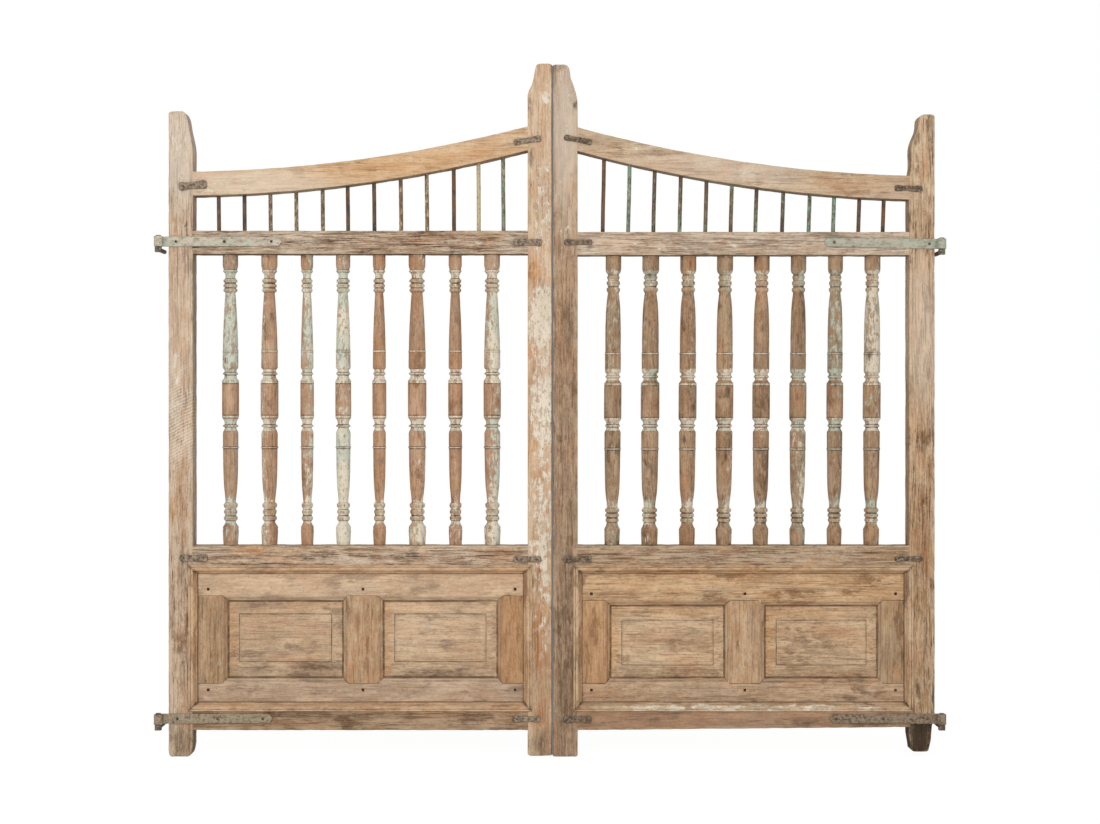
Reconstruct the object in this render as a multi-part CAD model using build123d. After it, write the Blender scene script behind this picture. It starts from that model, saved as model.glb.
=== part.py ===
# A pair of reclaimed wooden garden gate leaves on iron strap hinges.
# Each leaf has a hinge stile, a taller meeting stile, a rail that sweeps up to the meeting stile,
# iron rods over a middle rail, turned balusters down to a lock rail, and a panelled foot.
# All sizes are in millimetres. X runs along the gate, the viewer is at -Y and +Z is up.
# The origin is on the ground, under the middle of the whole gate.
# A leaf is drawn with X counted outwards from the line where the two leaves meet.

import os
from dataclasses import dataclass
from math import atan, cos, degrees, pi, sin, sqrt

from build123d import *

os.makedirs("parts", exist_ok=True)

# Where the leaves meet
split_x = 6.0               # the leaves meet this far right of the middle
leaf_gap = 0.9              # clear gap between the fronts of the two meeting stiles
edge_bevel = 2.6            # a meeting edge is planed back this far, so that each leaf swings clear
meeting_top = 1804.0        # top of the taller meeting stile
hinge_top = 1680.0          # top of the taller hinge stile

# Frame timbers
stile_depth = 58.0
rail_depth = 54.0
tenon_thickness = 18.0
tenon_length = 45.0
tenon_haunch = 9.0          # rail left above and below a tenon
tenon_root = 6.0            # a tenon starts this far inside its rail
joint_gap = 0.2             # clearance all round a tenon or a tongue in its slot
stile_corner = 4.0          # worn corner at the top of a stile's outer edge
plain_foot = [(0.0, 3.0), (3.0, 0.0)]
front_y = -stile_depth / 2
rail_back_y = front_y + rail_depth
rail_mid_y = front_y + rail_depth / 2

# Rail heights above the ground
middle_rail_top = 1369.0
middle_rail_height = 61.5
lock_rail_top = 550.0
lock_rail_height = 63.0
bottom_rail_bottom = 69.0
bottom_rail_height = 61.5
lock_rail_bottom = lock_rail_top - lock_rail_height
bottom_rail_top = bottom_rail_bottom + bottom_rail_height

# Iron rods
rod_radius = 5.6
rod_sides = 6               # the rods and the turned work are drawn with flat sides
rod_count = 12
rod_margin = 63.5           # from a stile to the middle of the nearest rod
rod_seat = 20.0             # length of a rod's end inside a rail
rod_gap = 0.2

# Turned balusters
baluster_count = 8
turned_sides = 8
baluster_margin = 92.5      # from a stile to the middle of the nearest baluster
pin_size = 18.0             # square pin left on each end of a baluster
pin_length = 20.0
pin_root = 5.0              # a pin starts this far inside its baluster
shoulder_gap = 0.3          # between a baluster's shoulder and the rail

# Panelled foot
panel_frame_setback = 12.0  # inner frame behind the face of the stiles
panel_frame_depth = 30.0
sticking = 14.0             # width of the slope worked round each panel opening
sticking_depth = 8.0
muntin_tenon_length = 30.0
muntin_tenon_thickness = 10.0
muntin_shoulder = 8.0       # muntin left on each side of its tenon
centre_muntin_width = 105.0
frame_fit = 0.3             # round the inner frame
panel_tongue = 8.0          # thickness of a panel's edge
tongue_length = 9.0
groove_depth = 10.0
field_margin = 30.0         # bevel at the ends of a panel's raised field
field_rise = 5.5            # height of the bevel
field_step = 2.0            # small step up to the field
peg_size = 6.0
peg_length = 24.0
peg_gap = 0.1
peg_above_shoulder = 17.0   # from a muntin's shoulder to its peg
panel_frame_front = front_y + panel_frame_setback
panel_frame_back = panel_frame_front + panel_frame_depth
panel_frame_mid = (panel_frame_front + panel_frame_back) / 2

# Moulding that covers the joint between the main frame and the inner frame
moulding_overlap = 12.0     # on the stiles and rails
moulding_sight = 12.0       # past their edges
moulding_proud = 4.0
moulding_fillet = 4.0
moulding_nose = 3.0
moulding_edge = 4.0

# Strap hinges and pintles
pintle_radius = 7.0
pintle_gap = 0.05           # running clearance of a pintle in its eye
strap_thickness = 5.0
strap_height = 28.0
strap_tip_height = 24.0
eye_slit = 1.2              # where the rolled end stops short of the strap
pintle_above_eye = 2.0
knuckle_width = 16.0
knuckle_depth = 16.0
knuckle_height = 14.0
knuckle_gap = 0.3           # between the knuckle and the eye that turns on it
spike_radius = 6.0
spike_point = 14.0
spike_tip = 4.0
eye_radius = pintle_radius + pintle_gap + strap_thickness
axis_y = front_y - eye_radius
gate_front_y = axis_y - eye_radius

# Tie straps and nails
tie_length = 71.0
tie_thickness = 4.0
tie_nail_inset = 10.0
nail_head = 9.0
nail_head_height = 2.5
nail_head_taper = 35.0
nail_shank = 3.6
nail_in_wood = 32.0
nail_gap = 0.1

# A baluster's outline from the lock rail up: height, and radius as a share of its thickest part
turning = [
    (0.0, 0.90),
    (44.0, 0.93),
    (58.0, 0.71),
    (190.0, 0.87),
    (298.0, 0.93),
    (312.0, 0.77),
    (330.0, 1.00),
    (424.0, 1.00),
    (438.0, 0.78),
    (452.0, 0.92),
    (550.0, 0.88),
    (650.0, 0.69),
    (712.0, 0.89),
]


@dataclass
class Strap:
    """A hinge strap across a rail. Its length and its nails are measured from the hinge axis."""

    rail: str
    drop: float                 # from the top of the rail to the middle of the eye
    length: float
    tip_lift: float
    nails: tuple


@dataclass
class Tie:
    """A short iron strap over the joint of a rail and a stile, with its tilt in degrees."""

    rail: str
    stile: str
    shift: float                # from the stile's inner edge to the middle of the strap
    drop: float                 # from the top of the rail to the middle of the strap
    tilt: float
    breadth: float


@dataclass
class Leaf:
    """One leaf. Distances run outwards from the split line, heights from the ground."""

    name: str
    side: int                   # -1 for the left leaf, +1 for the right leaf
    width: float                # from the split line to the hinge edge
    axis_reach: float           # from the hinge edge to the axis the leaf turns on
    meeting_stile_width: float
    meeting_wear: float         # how far its top is below the taller one's
    meeting_foot: float
    meeting_horn: list          # inset from the inner edge and drop from the top
    hinge_stile_width: float
    hinge_wear: float
    hinge_foot: float
    hinge_horn: list
    outer_foot: list            # inset from the outer edge and height above the foot
    inner_foot: list
    arch_drops: tuple           # from the tops of the two stiles to the arched rail's top edge
    arch_sag: float             # how far that edge dips below a straight line
    arch_height: float
    middle_rail_drop: float     # how far this leaf's middle rail is below the higher one
    bottom_rail_rise: float     # worn lower edge, higher at the hinge side
    rods_wander: list           # how far each rod stands off its even spacing
    rods_lean: float            # foot of a rod nearer the split line than its head
    balusters_wander: list
    balusters_lean: float
    baluster_sizes: list        # thickest diameter of each
    meeting_muntin_width: float
    hinge_muntin_width: float
    centre_muntin_shift: float  # from the middle between the stiles
    panel_top_rail_height: float
    panel_bottom_rail_height: float
    field_top_margin: float
    field_bottom_margin: float
    upper_strap: Strap
    lower_strap: Strap
    ties: list

    @property
    def meeting_edge(self):
        return leaf_gap / 2

    @property
    def inner_meeting(self):
        return self.meeting_edge + self.meeting_stile_width

    @property
    def inner_hinge(self):
        return self.width - self.hinge_stile_width

    @property
    def centre(self):
        return (self.inner_meeting + self.inner_hinge) / 2

    @property
    def axis(self):
        return self.width + self.axis_reach

    @property
    def meeting_top(self):
        return meeting_top - self.meeting_wear

    @property
    def hinge_top(self):
        return hinge_top - self.hinge_wear

    @property
    def arch_ends(self):
        return (self.meeting_top - self.arch_drops[0], self.hinge_top - self.arch_drops[1])

    @property
    def middle_rail_top(self):
        return middle_rail_top - self.middle_rail_drop

    @property
    def middle_rail_bottom(self):
        return self.middle_rail_top - middle_rail_height

    def rail_top(self, rail, stile):
        tops = {
            "arched_rail": self.arch_ends[0 if stile == "meeting" else 1],
            "middle_rail": self.middle_rail_top,
            "lock_rail": lock_rail_top,
            "bottom_rail": bottom_rail_top,
        }
        return tops[rail]


left = Leaf(
    name="left",
    side=-1,
    width=998.5,
    axis_reach=23.5,
    meeting_stile_width=64.05,
    meeting_wear=0.0,
    meeting_foot=2.0,
    meeting_horn=[(25.0, 0.0), (19.5, 14.0), (16.5, 32.0), (12.0, 52.0), (3.5, 70.0), (0.0, 92.0)],
    hinge_stile_width=64.0,
    hinge_wear=0.0,
    hinge_foot=0.0,
    hinge_horn=[(24.0, 0.0), (16.0, 15.0), (10.0, 46.0), (5.0, 68.0), (0.0, 115.0)],
    outer_foot=[(0.0, 14.0), (4.0, 0.0)],
    inner_foot=[(0.0, 30.0), (4.0, 8.0), (10.0, 0.0)],
    arch_drops=(163.0, 157.0),
    arch_sag=27.0,
    arch_height=64.0,
    middle_rail_drop=0.0,
    bottom_rail_rise=0.0,
    rods_wander=[0.0, -3.0, -6.0, -3.0, -2.5, -0.5, 1.0, -1.0, 0.5, 0.5, 1.0, 0.5],
    rods_lean=1.5,
    balusters_wander=[0.0, -1.5, 0.5, 1.5, -2.0, -5.5, -5.0, -1.0],
    balusters_lean=1.0,
    baluster_sizes=[46.0, 38.5, 49.0, 37.0, 42.0, 36.0, 47.0, 44.5],
    meeting_muntin_width=78.5,
    hinge_muntin_width=88.5,
    centre_muntin_shift=-6.0,
    panel_top_rail_height=83.0,
    panel_bottom_rail_height=73.0,
    field_top_margin=34.0,
    field_bottom_margin=42.0,
    upper_strap=Strap("middle_rail", 29.0, 319.0, 0.0, (44.0, 170.0, 292.0)),
    lower_strap=Strap("bottom_rail", 30.5, 295.0, 0.0, (48.0, 152.0, 270.0)),
    ties=[
        Tie("arched_rail", "hinge", -0.5, 37.0, -6.0, 23.0),
        Tie("arched_rail", "meeting", 0.5, 38.0, -9.0, 16.0),
        Tie("middle_rail", "meeting", 0.0, 31.0, 0.0, 20.0),
        Tie("lock_rail", "hinge", -2.5, 32.5, 0.0, 19.0),
        Tie("lock_rail", "meeting", 0.5, 36.0, 0.0, 16.0),
        Tie("bottom_rail", "meeting", 2.5, 31.5, 0.0, 17.0),
    ],
)

right = Leaf(
    name="right",
    side=1,
    width=995.0,
    axis_reach=15.0,
    meeting_stile_width=66.05,
    meeting_wear=2.0,
    meeting_foot=0.0,
    meeting_horn=[(32.0, 0.0), (24.0, 6.0), (19.0, 29.0), (12.0, 52.0), (5.5, 73.0), (0.0, 112.0)],
    hinge_stile_width=67.5,
    hinge_wear=8.0,
    hinge_foot=13.0,
    hinge_horn=[(34.0, 0.0), (26.0, 10.0), (23.0, 34.0), (8.0, 74.0), (6.0, 120.0), (0.0, 165.0)],
    outer_foot=[(0.0, 85.0), (6.0, 72.0), (10.0, 30.0), (17.0, 0.0)],
    inner_foot=[(0.0, 45.0), (6.0, 4.0), (10.0, 0.0)],
    arch_drops=(164.0, 160.0),
    arch_sag=26.5,
    arch_height=63.0,
    middle_rail_drop=3.0,
    bottom_rail_rise=8.0,
    rods_wander=[3.5, 3.5, 2.5, 4.0, 4.5, 4.0, 2.0, 5.0, 7.5, 4.5, 4.0, 1.0],
    rods_lean=4.4,
    balusters_wander=[-1.0, 0.0, 1.5, 1.0, 0.5, 0.0, 0.0, 0.0],
    balusters_lean=4.0,
    baluster_sizes=[46.0, 49.5, 47.5, 47.5, 46.5, 45.5, 44.0, 47.0],
    meeting_muntin_width=85.0,
    hinge_muntin_width=79.0,
    centre_muntin_shift=5.0,
    panel_top_rail_height=95.0,
    panel_bottom_rail_height=72.5,
    field_top_margin=38.0,
    field_bottom_margin=34.0,
    upper_strap=Strap("middle_rail", 32.5, 302.0, 5.0, (30.5, 278.0)),
    lower_strap=Strap("bottom_rail", 30.5, 289.0, 0.0, (36.0, 150.0, 272.0)),
    ties=[
        Tie("arched_rail", "hinge", -1.5, 34.0, -2.0, 16.0),
        Tie("arched_rail", "meeting", 0.5, 33.5, -11.0, 15.0),
        Tie("middle_rail", "meeting", 1.0, 28.0, 0.0, 15.0),
        Tie("lock_rail", "hinge", -1.5, 34.5, 0.0, 14.0),
        Tie("lock_rail", "meeting", -1.0, 36.0, 0.0, 16.0),
        Tie("bottom_rail", "meeting", -1.5, 32.5, 0.0, 17.0),
    ],
)


# General shapes

def block(x_range, y_range, z_range):
    """A box between three pairs of limits."""
    spans = [high - low for low, high in (x_range, y_range, z_range)]
    middle = [(high + low) / 2 for low, high in (x_range, y_range, z_range)]
    return Pos(*middle) * Box(*spans)


def board(face, y_range):
    """A face drawn as X and height, made solid between two depths."""
    low, high = y_range
    return extrude(Plane.XZ.offset(-low) * face, amount=high - low, dir=(0, 1, 0))


def grown(limits, amount):
    """A pair of limits moved apart by an amount at each end."""
    return (limits[0] - amount, limits[1] + amount)


def rectangle(x_range, z_range, y):
    """The corners of a rectangle standing at one depth."""
    (left_x, right_x), (low, high) = x_range, z_range
    return [(left_x, y, low), (right_x, y, low), (right_x, y, high), (left_x, y, high)]


def flat_sided(rings):
    """A solid with flat sides through rings of corners."""
    outlines = [rings[0], rings[-1]]
    for first, second in zip(rings, rings[1:]):
        for i in range(len(first)):
            outlines.append([first[i - 1], first[i], second[i], second[i - 1]])
    return Solid(Shell([Face(Wire.make_polygon(outline, close=True)) for outline in outlines]))


# Frame of a leaf

def horn_curve(horn, inner, outwards, top):
    """The worn shoulder of a stile, from its top down to its straight inner edge."""
    points = [(inner + outwards * inset, top - drop) for inset, drop in horn]
    return Spline(*points)


def stile_face(inner, outer, top, foot, horn, inner_foot, outer_foot):
    """The front outline of a stile."""
    outwards = 1 if outer > inner else -1
    shoulder = horn_curve(horn, inner, outwards, top)
    inner_points = [(inner + outwards * inset, foot + rise) for inset, rise in inner_foot]
    outer_points = [(outer - outwards * inset, foot + rise) for inset, rise in outer_foot]
    rest = [shoulder @ 1, *inner_points, *outer_points[::-1]]
    rest += [(outer, top - stile_corner), (outer - outwards * stile_corner, top), shoulder @ 0]
    return make_face([shoulder, *Polyline(*[(Vector(p).X, Vector(p).Y) for p in rest]).edges()])


def planed_off(leaf):
    """What is planed off a leaf's meeting edge: nothing at the front, most at the back."""
    corners = [(0, front_y), (leaf.meeting_edge, front_y), (leaf.meeting_edge + edge_bevel, -front_y)]
    return extrude(Polygon(*corners, (0, -front_y), align=None), amount=leaf.meeting_top, dir=(0, 0, 1))


def arch_curves(leaf):
    """The top and bottom edges of the arched rail between the stiles."""
    start = Vector(leaf.inner_meeting, leaf.arch_ends[0])
    end = Vector(leaf.inner_hinge, leaf.arch_ends[1])
    top = ThreePointArc(start, (start + end) / 2 - Vector(0, leaf.arch_sag), end)
    return top, Pos(0, -leaf.arch_height) * top


def height_on(curve, across):
    """The height of a curve at one place along the gate."""
    low, high = 0.0, 1.0
    for _ in range(40):
        middle = (low + high) / 2
        if (curve @ middle).X < across:
            low = middle
        else:
            high = middle
    return (curve @ low).Y


def rail_tenons(leaf, z_meeting, z_hinge, clearance=0.0):
    """The two tenons of a rail, or their slots when a clearance is given."""
    depth = grown((rail_mid_y - tenon_thickness / 2, rail_mid_y + tenon_thickness / 2), clearance)
    at_meeting = (leaf.inner_meeting - tenon_length - clearance, leaf.inner_meeting + tenon_root)
    at_hinge = (leaf.inner_hinge - tenon_root, leaf.inner_hinge + tenon_length + clearance)
    return [
        block(at_meeting, depth, grown(z_meeting, clearance)),
        block(at_hinge, depth, grown(z_hinge, clearance)),
    ]


def tenon_heights(leaf):
    """For each rail, the heights of its tenons at the meeting stile and at the hinge stile."""
    def inside(low, high):
        return (low + tenon_haunch, high - tenon_haunch)

    arch_meeting, arch_hinge = leaf.arch_ends
    rails = {
        "arched_rail": (
            inside(arch_meeting - leaf.arch_height, arch_meeting),
            inside(arch_hinge - leaf.arch_height, arch_hinge),
        ),
        "middle_rail": (inside(leaf.middle_rail_bottom, leaf.middle_rail_top),) * 2,
        "lock_rail": (inside(lock_rail_bottom, lock_rail_top),) * 2,
        "bottom_rail": (inside(bottom_rail_bottom + leaf.bottom_rail_rise, bottom_rail_top),) * 2,
    }
    return rails


def rail_bodies(leaf):
    """The four rails between the stiles, without their tenons."""
    depth = (front_y, rail_back_y)
    across = (leaf.inner_meeting, leaf.inner_hinge)
    top, under = arch_curves(leaf)
    ends = [Line(top @ 0, under @ 0), Line(top @ 1, under @ 1)]
    arched = board(make_face([top, under, *ends]), depth)
    bottom = Polygon(
        (across[0], bottom_rail_bottom),
        (across[1], bottom_rail_bottom + leaf.bottom_rail_rise),
        (across[1], bottom_rail_top),
        (across[0], bottom_rail_top),
        align=None,
    )
    return {
        "arched_rail": arched,
        "middle_rail": block(across, depth, (leaf.middle_rail_bottom, leaf.middle_rail_top)),
        "lock_rail": block(across, depth, (lock_rail_bottom, lock_rail_top)),
        "bottom_rail": board(bottom, depth),
    }


# Rods and balusters

def spread(leaf, count, margin, wander):
    """Places along the leaf for rods or balusters: evenly between the stiles, each a little off."""
    first, last = grown((leaf.inner_meeting, leaf.inner_hinge), -margin)
    pitch = (last - first) / (count - 1)
    return [first + i * pitch + wander[i] for i in range(count)]


def leaning(across, low, high, lean):
    """A place whose Z axis leans outwards by an amount between two heights."""
    angle = degrees(atan(lean / (high - low)))
    return Pos(across, rail_mid_y, (low + high) / 2) * Rot(0, angle, 0)


def rods_and_sockets(leaf):
    """The iron rods, and the square sockets that hold their ends."""
    under = arch_curves(leaf)[1]
    rods, sockets = [], []
    for across in spread(leaf, rod_count, rod_margin, leaf.rods_wander):
        low = leaf.middle_rail_top - rod_seat
        high = height_on(under, across) + rod_seat
        place = leaning(across, low, high, leaf.rods_lean)
        side = 2 * (rod_radius + rod_gap)
        rods.append(place * extrude(RegularPolygon(rod_radius, rod_sides), (high - low) / 2, both=True))
        sockets.append(place * Box(side, side, high - low + 2 * rod_gap))
    return rods, sockets


def baluster(size, length):
    """A turned baluster with a square pin at each end, standing on Z = 0."""
    rings = []
    for height, share in turning + [(length, turning[0][1])]:
        radius = share * size / 2
        angles = [2 * pi * i / turned_sides for i in range(turned_sides)]
        rings.append([(radius * cos(angle), radius * sin(angle), height) for angle in angles])
    pin = (-pin_size / 2, pin_size / 2)
    lower = block(pin, pin, (-pin_length, pin_root))
    upper = block(pin, pin, (length - pin_root, length + pin_length))
    return flat_sided(rings) + lower + upper


def balusters_and_sockets(leaf):
    """The balusters, and the sockets for their pins in the middle rail and lock rail."""
    low = lock_rail_top + shoulder_gap
    high = leaf.middle_rail_bottom - shoulder_gap
    length = high - low
    turned, sockets = [], []
    places = spread(leaf, baluster_count, baluster_margin, leaf.balusters_wander)
    for size, across in zip(leaf.baluster_sizes, places):
        foot = leaning(across, low, high, leaf.balusters_lean) * Pos(0, 0, -length / 2)
        turned.append(foot * baluster(size, length))
        side = grown((-pin_size / 2, pin_size / 2), joint_gap)
        tall = (-pin_length - joint_gap, length + pin_length + joint_gap)
        sockets.append(foot * block(side, side, tall))
    return turned, sockets


# Panelled foot

def panel_openings(leaf):
    """The two openings of the inner frame as limits along the gate, and their common heights."""
    middle = leaf.centre + leaf.centre_muntin_shift
    half = centre_muntin_width / 2
    first = (leaf.inner_meeting + leaf.meeting_muntin_width, middle - half)
    second = (middle + half, leaf.inner_hinge - leaf.hinge_muntin_width)
    low = bottom_rail_top + leaf.panel_bottom_rail_height
    high = lock_rail_bottom - leaf.panel_top_rail_height
    return [first, second], (low, high)


def panel_frame(leaf):
    """The inner frame's two rails and three muntins, with their slopes, grooves and joints."""
    openings, heights = panel_openings(leaf)
    edges = grown((leaf.inner_meeting, leaf.inner_hinge), -frame_fit)
    shoulders = grown(heights, sticking)
    depth = (panel_frame_front, panel_frame_back)

    def rail(shoulder, sight, far):
        points = [(edges[0], far), (edges[0], shoulder)]
        for low, high in openings:
            points += [(low - sticking, shoulder), (low, sight), (high, sight), (high + sticking, shoulder)]
        points += [(edges[1], shoulder), (edges[1], far)]
        return board(Polygon(*points, align=None), depth)

    def muntin(sights, outer):
        # A side of the muntin at an opening is moulded, and a side at a stile is plain.
        low, high = outer
        points = []
        for x, moulded, inwards in ((low, sights[0], 1), (high, sights[1], -1)):
            run = [(x, shoulders[0]), (x, shoulders[1])]
            if moulded:
                run = [
                    (x + inwards * sticking, shoulders[0]),
                    (x, heights[0]),
                    (x, heights[1]),
                    (x + inwards * sticking, shoulders[1]),
                ]
            points += run if inwards > 0 else run[::-1]
        return board(Polygon(*points, align=None), depth)

    pieces = {
        "panel_top_rail": rail(shoulders[1], heights[1], lock_rail_bottom - frame_fit),
        "panel_bottom_rail": rail(shoulders[0], heights[0], bottom_rail_top + frame_fit),
        "meeting_muntin": muntin((False, True), (edges[0], openings[0][0])),
        "centre_muntin": muntin((True, True), (openings[0][1], openings[1][0])),
        "hinge_muntin": muntin((True, False), (openings[1][1], edges[1])),
    }
    widths = {
        "meeting_muntin": (edges[0], openings[0][0] - sticking),
        "centre_muntin": (openings[0][1] + sticking, openings[1][0] - sticking),
        "hinge_muntin": (openings[1][1] + sticking, edges[1]),
    }
    tenon_y = (panel_frame_mid - muntin_tenon_thickness / 2, panel_frame_mid + muntin_tenon_thickness / 2)
    pegs = []
    for name, width in widths.items():
        across = grown(width, -muntin_shoulder)
        tall = grown(shoulders, muntin_tenon_length)
        pieces[name] += block(across, tenon_y, tall)
        slot = block(grown(across, joint_gap), grown(tenon_y, joint_gap), grown(tall, joint_gap))
        for shoulder, towards, rail_name in (
            (shoulders[0], -1, "panel_bottom_rail"),
            (shoulders[1], 1, "panel_top_rail"),
        ):
            pieces[rail_name] -= slot
            height = shoulder + towards * peg_above_shoulder
            middle = sum(width) / 2
            side = (-peg_size / 2, peg_size / 2)
            hole_side = grown(side, peg_gap)
            reach = (panel_frame_front, panel_frame_front + peg_length)
            hole = Pos(middle, 0, height) * block(hole_side, grown(reach, peg_gap), hole_side)
            pieces[rail_name] -= hole
            pieces[name] -= hole
            pegs.append(Pos(middle, 0, height) * block(side, reach, side))
    tongue = (panel_frame_mid - panel_tongue / 2, panel_frame_mid + panel_tongue / 2)
    for opening in openings:
        front = rectangle(grown(opening, sticking), grown(heights, sticking), panel_frame_front)
        back = rectangle(opening, heights, panel_frame_front + sticking_depth)
        groove = block(grown(opening, groove_depth), grown(tongue, joint_gap), grown(heights, groove_depth))
        cutter = flat_sided([front, back]) + groove
        for name in pieces:
            pieces[name] -= cutter
    return pieces, pegs


def panels(leaf):
    """The two raised panels, each with a tongue round its edge."""
    openings, heights = panel_openings(leaf)
    tongue = (panel_frame_mid - panel_tongue / 2, panel_frame_mid + panel_tongue / 2)
    made = []
    for opening in openings:
        field_x = grown(opening, -field_margin)
        field_z = (heights[0] + leaf.field_bottom_margin, heights[1] - leaf.field_top_margin)
        bevel_top = tongue[0] - field_rise
        base = block(grown(opening, tongue_length), tongue, grown(heights, tongue_length))
        edge = rectangle(grown(opening, -joint_gap), grown(heights, -joint_gap), tongue[0])
        bevel = flat_sided([edge, rectangle(field_x, field_z, bevel_top)])
        field = block(field_x, (bevel_top - field_step, bevel_top), field_z)
        made.append(base + bevel + field)
    return made


def moulding_profile():
    """The covering moulding in section: across from its outer edge, and forward of the frame."""
    wide = moulding_overlap + moulding_sight
    bottom = -panel_frame_setback
    nose = (moulding_fillet, moulding_proud)
    toe = (wide, bottom + moulding_edge)
    bulge = ((nose[0] + toe[0]) / 2 + moulding_nose, (nose[1] + toe[1]) / 2 + moulding_nose)
    seat = moulding_overlap + frame_fit
    straight = Polyline(toe, (wide, bottom), (seat, bottom), (seat, 0), (0, 0), (0, moulding_proud), nose)
    return make_face([ThreePointArc(nose, bulge, toe), *straight.edges()])


def panel_moulding(leaf):
    """Four mitred lengths of moulding round the panelled foot."""
    across = (leaf.inner_meeting, leaf.inner_hinge)
    tall = (bottom_rail_top, lock_rail_bottom)
    outer = [grown(across, moulding_overlap), grown(tall, moulding_overlap)]
    inner = [grown(across, -moulding_sight), grown(tall, -moulding_sight)]
    reach = (front_y - 2 * moulding_proud, panel_frame_front + moulding_proud)
    profile = moulding_profile()
    pieces = []
    for low_side in (True, False):
        end = 0 if low_side else 1
        turn = 1 if low_side else -1
        # Lengths that lie along the gate
        z_outer, z_inner = outer[1][end], inner[1][end]
        lie = Plane(origin=(outer[0][0], front_y, z_outer), x_dir=(0, 0, turn), z_dir=(turn, 0, 0))
        flat = extrude(lie * profile, amount=outer[0][1] - outer[0][0], dir=(1, 0, 0))
        mitre = Polygon(
            (outer[0][0], z_outer), (outer[0][1], z_outer), (inner[0][1], z_inner), (inner[0][0], z_inner),
            align=None,
        )
        pieces.append(flat & board(mitre, reach))
        # Lengths that stand
        x_outer, x_inner = outer[0][end], inner[0][end]
        stand = Plane(origin=(x_outer, front_y, outer[1][0]), x_dir=(turn, 0, 0), z_dir=(0, 0, -turn))
        upright = extrude(stand * profile, amount=outer[1][1] - outer[1][0], dir=(0, 0, 1))
        mitre = Polygon(
            (x_outer, outer[1][0]), (x_inner, inner[1][0]), (x_inner, inner[1][1]), (x_outer, outer[1][1]),
            align=None,
        )
        pieces.append(upright & board(mitre, reach))
    return pieces


# Ironwork

def eye_height(leaf, strap):
    """The height of the middle of a strap's eye."""
    return leaf.rail_top(strap.rail, "hinge") - strap.drop


def hinge_strap(leaf, strap):
    """A flat strap with its end rolled forwards into an eye round the pintle."""
    eye_middle = eye_height(leaf, strap)
    low_root, high_root = eye_middle - strap_height / 2, eye_middle + strap_height / 2
    tip_middle = eye_middle + strap.tip_lift
    half_tip = strap_tip_height / 2
    end = leaf.axis - strap.length
    tip_low = (end + half_tip, tip_middle - half_tip)
    tip_high = (end + half_tip, tip_middle + half_tip)
    sides = Polyline(tip_low, (leaf.axis, low_root), (leaf.axis, high_root), tip_high)
    tip = ThreePointArc(tip_low, (end, tip_middle), tip_high)
    blade = board(make_face([*sides.edges(), tip]), (front_y - strap_thickness, front_y))
    eye = Pos(leaf.axis, axis_y, eye_middle)
    barrel = eye * Cylinder(eye_radius, strap_height)
    bore = eye * Cylinder(pintle_radius + pintle_gap, strap_height)
    slit_y = front_y - strap_thickness - eye_slit / 2
    slit = block(
        (leaf.axis - 2 * eye_radius, leaf.axis - pintle_radius / 2),
        grown((slit_y, slit_y), eye_slit / 2),
        (low_root, high_root),
    )
    return (blade + barrel) - bore - slit


def pintle(leaf, strap):
    """The pin that a strap turns on, with its knuckle and the spike that goes into a post."""
    eye_middle = eye_height(leaf, strap)
    eye_low, eye_high = eye_middle - strap_height / 2, eye_middle + strap_height / 2
    knuckle_top = eye_low - knuckle_gap
    knuckle = Pos(leaf.axis, axis_y, knuckle_top - knuckle_height / 2) * Box(
        knuckle_width, knuckle_depth, knuckle_height
    )
    pin_length = eye_high + pintle_above_eye - knuckle_top
    pin = Pos(leaf.axis, axis_y, knuckle_top + pin_length / 2) * Cylinder(pintle_radius, pin_length)
    spike_z = knuckle_top - knuckle_height / 2
    point_y = -gate_front_y
    root_y = axis_y + knuckle_depth / 2
    shoulder_y = point_y - spike_point
    middle = Pos(leaf.axis, (root_y + shoulder_y) / 2, spike_z)
    body = middle * Rot(90, 0, 0) * Cylinder(spike_radius, shoulder_y - root_y)
    squares = []
    for side, y in ((spike_radius * sqrt(2), shoulder_y), (spike_tip, point_y)):
        squares.append(rectangle(
            grown((leaf.axis, leaf.axis), side / 2), grown((spike_z, spike_z), side / 2), y,
        ))
    return knuckle + pin + body + flat_sided(squares)


def tie_place(leaf, tie):
    """The middle of a tie strap on the front of the leaf, with its tilt."""
    inner_edge = leaf.inner_meeting if tie.stile == "meeting" else leaf.inner_hinge
    height = leaf.rail_top(tie.rail, tie.stile) - tie.drop
    return Pos(inner_edge + tie.shift, front_y, height) * Rot(0, -tie.tilt, 0)


def tie_strap(leaf, tie):
    """A short strap nailed over a joint."""
    half, tall = tie_length / 2, tie.breadth / 2
    return tie_place(leaf, tie) * block((-half, half), (-tie_thickness, 0), (-tall, tall))


def nail_places(leaf):
    """Every nail in the ironwork of a leaf: where it enters and how thick the strap is."""
    places = []
    for strap in (leaf.upper_strap, leaf.lower_strap):
        for along in strap.nails:
            height = eye_height(leaf, strap) + strap.tip_lift * along / strap.length
            places.append((Pos(leaf.axis - along, front_y, height), strap_thickness))
    for tie in leaf.ties:
        inset = tie_length / 2 - tie_nail_inset
        for along in (-inset, inset):
            places.append((tie_place(leaf, tie) * Pos(along, 0, 0), tie_thickness))
    return places


def nail(thickness):
    """A forged nail with a square shank and a faceted head, seated on a strap of one thickness."""
    shank = (-nail_shank / 2, nail_shank / 2)
    head = extrude(
        Plane.XZ.offset(thickness) * Rectangle(nail_head, nail_head), amount=nail_head_height, taper=nail_head_taper
    )
    return head + block(shank, (-thickness, nail_in_wood), shank)


def nail_hole():
    """The hole that a nail fills."""
    side = grown((-nail_shank / 2, nail_shank / 2), nail_gap)
    return block(side, (-2 * strap_thickness, nail_in_wood + nail_gap), side)


# One whole leaf

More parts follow.
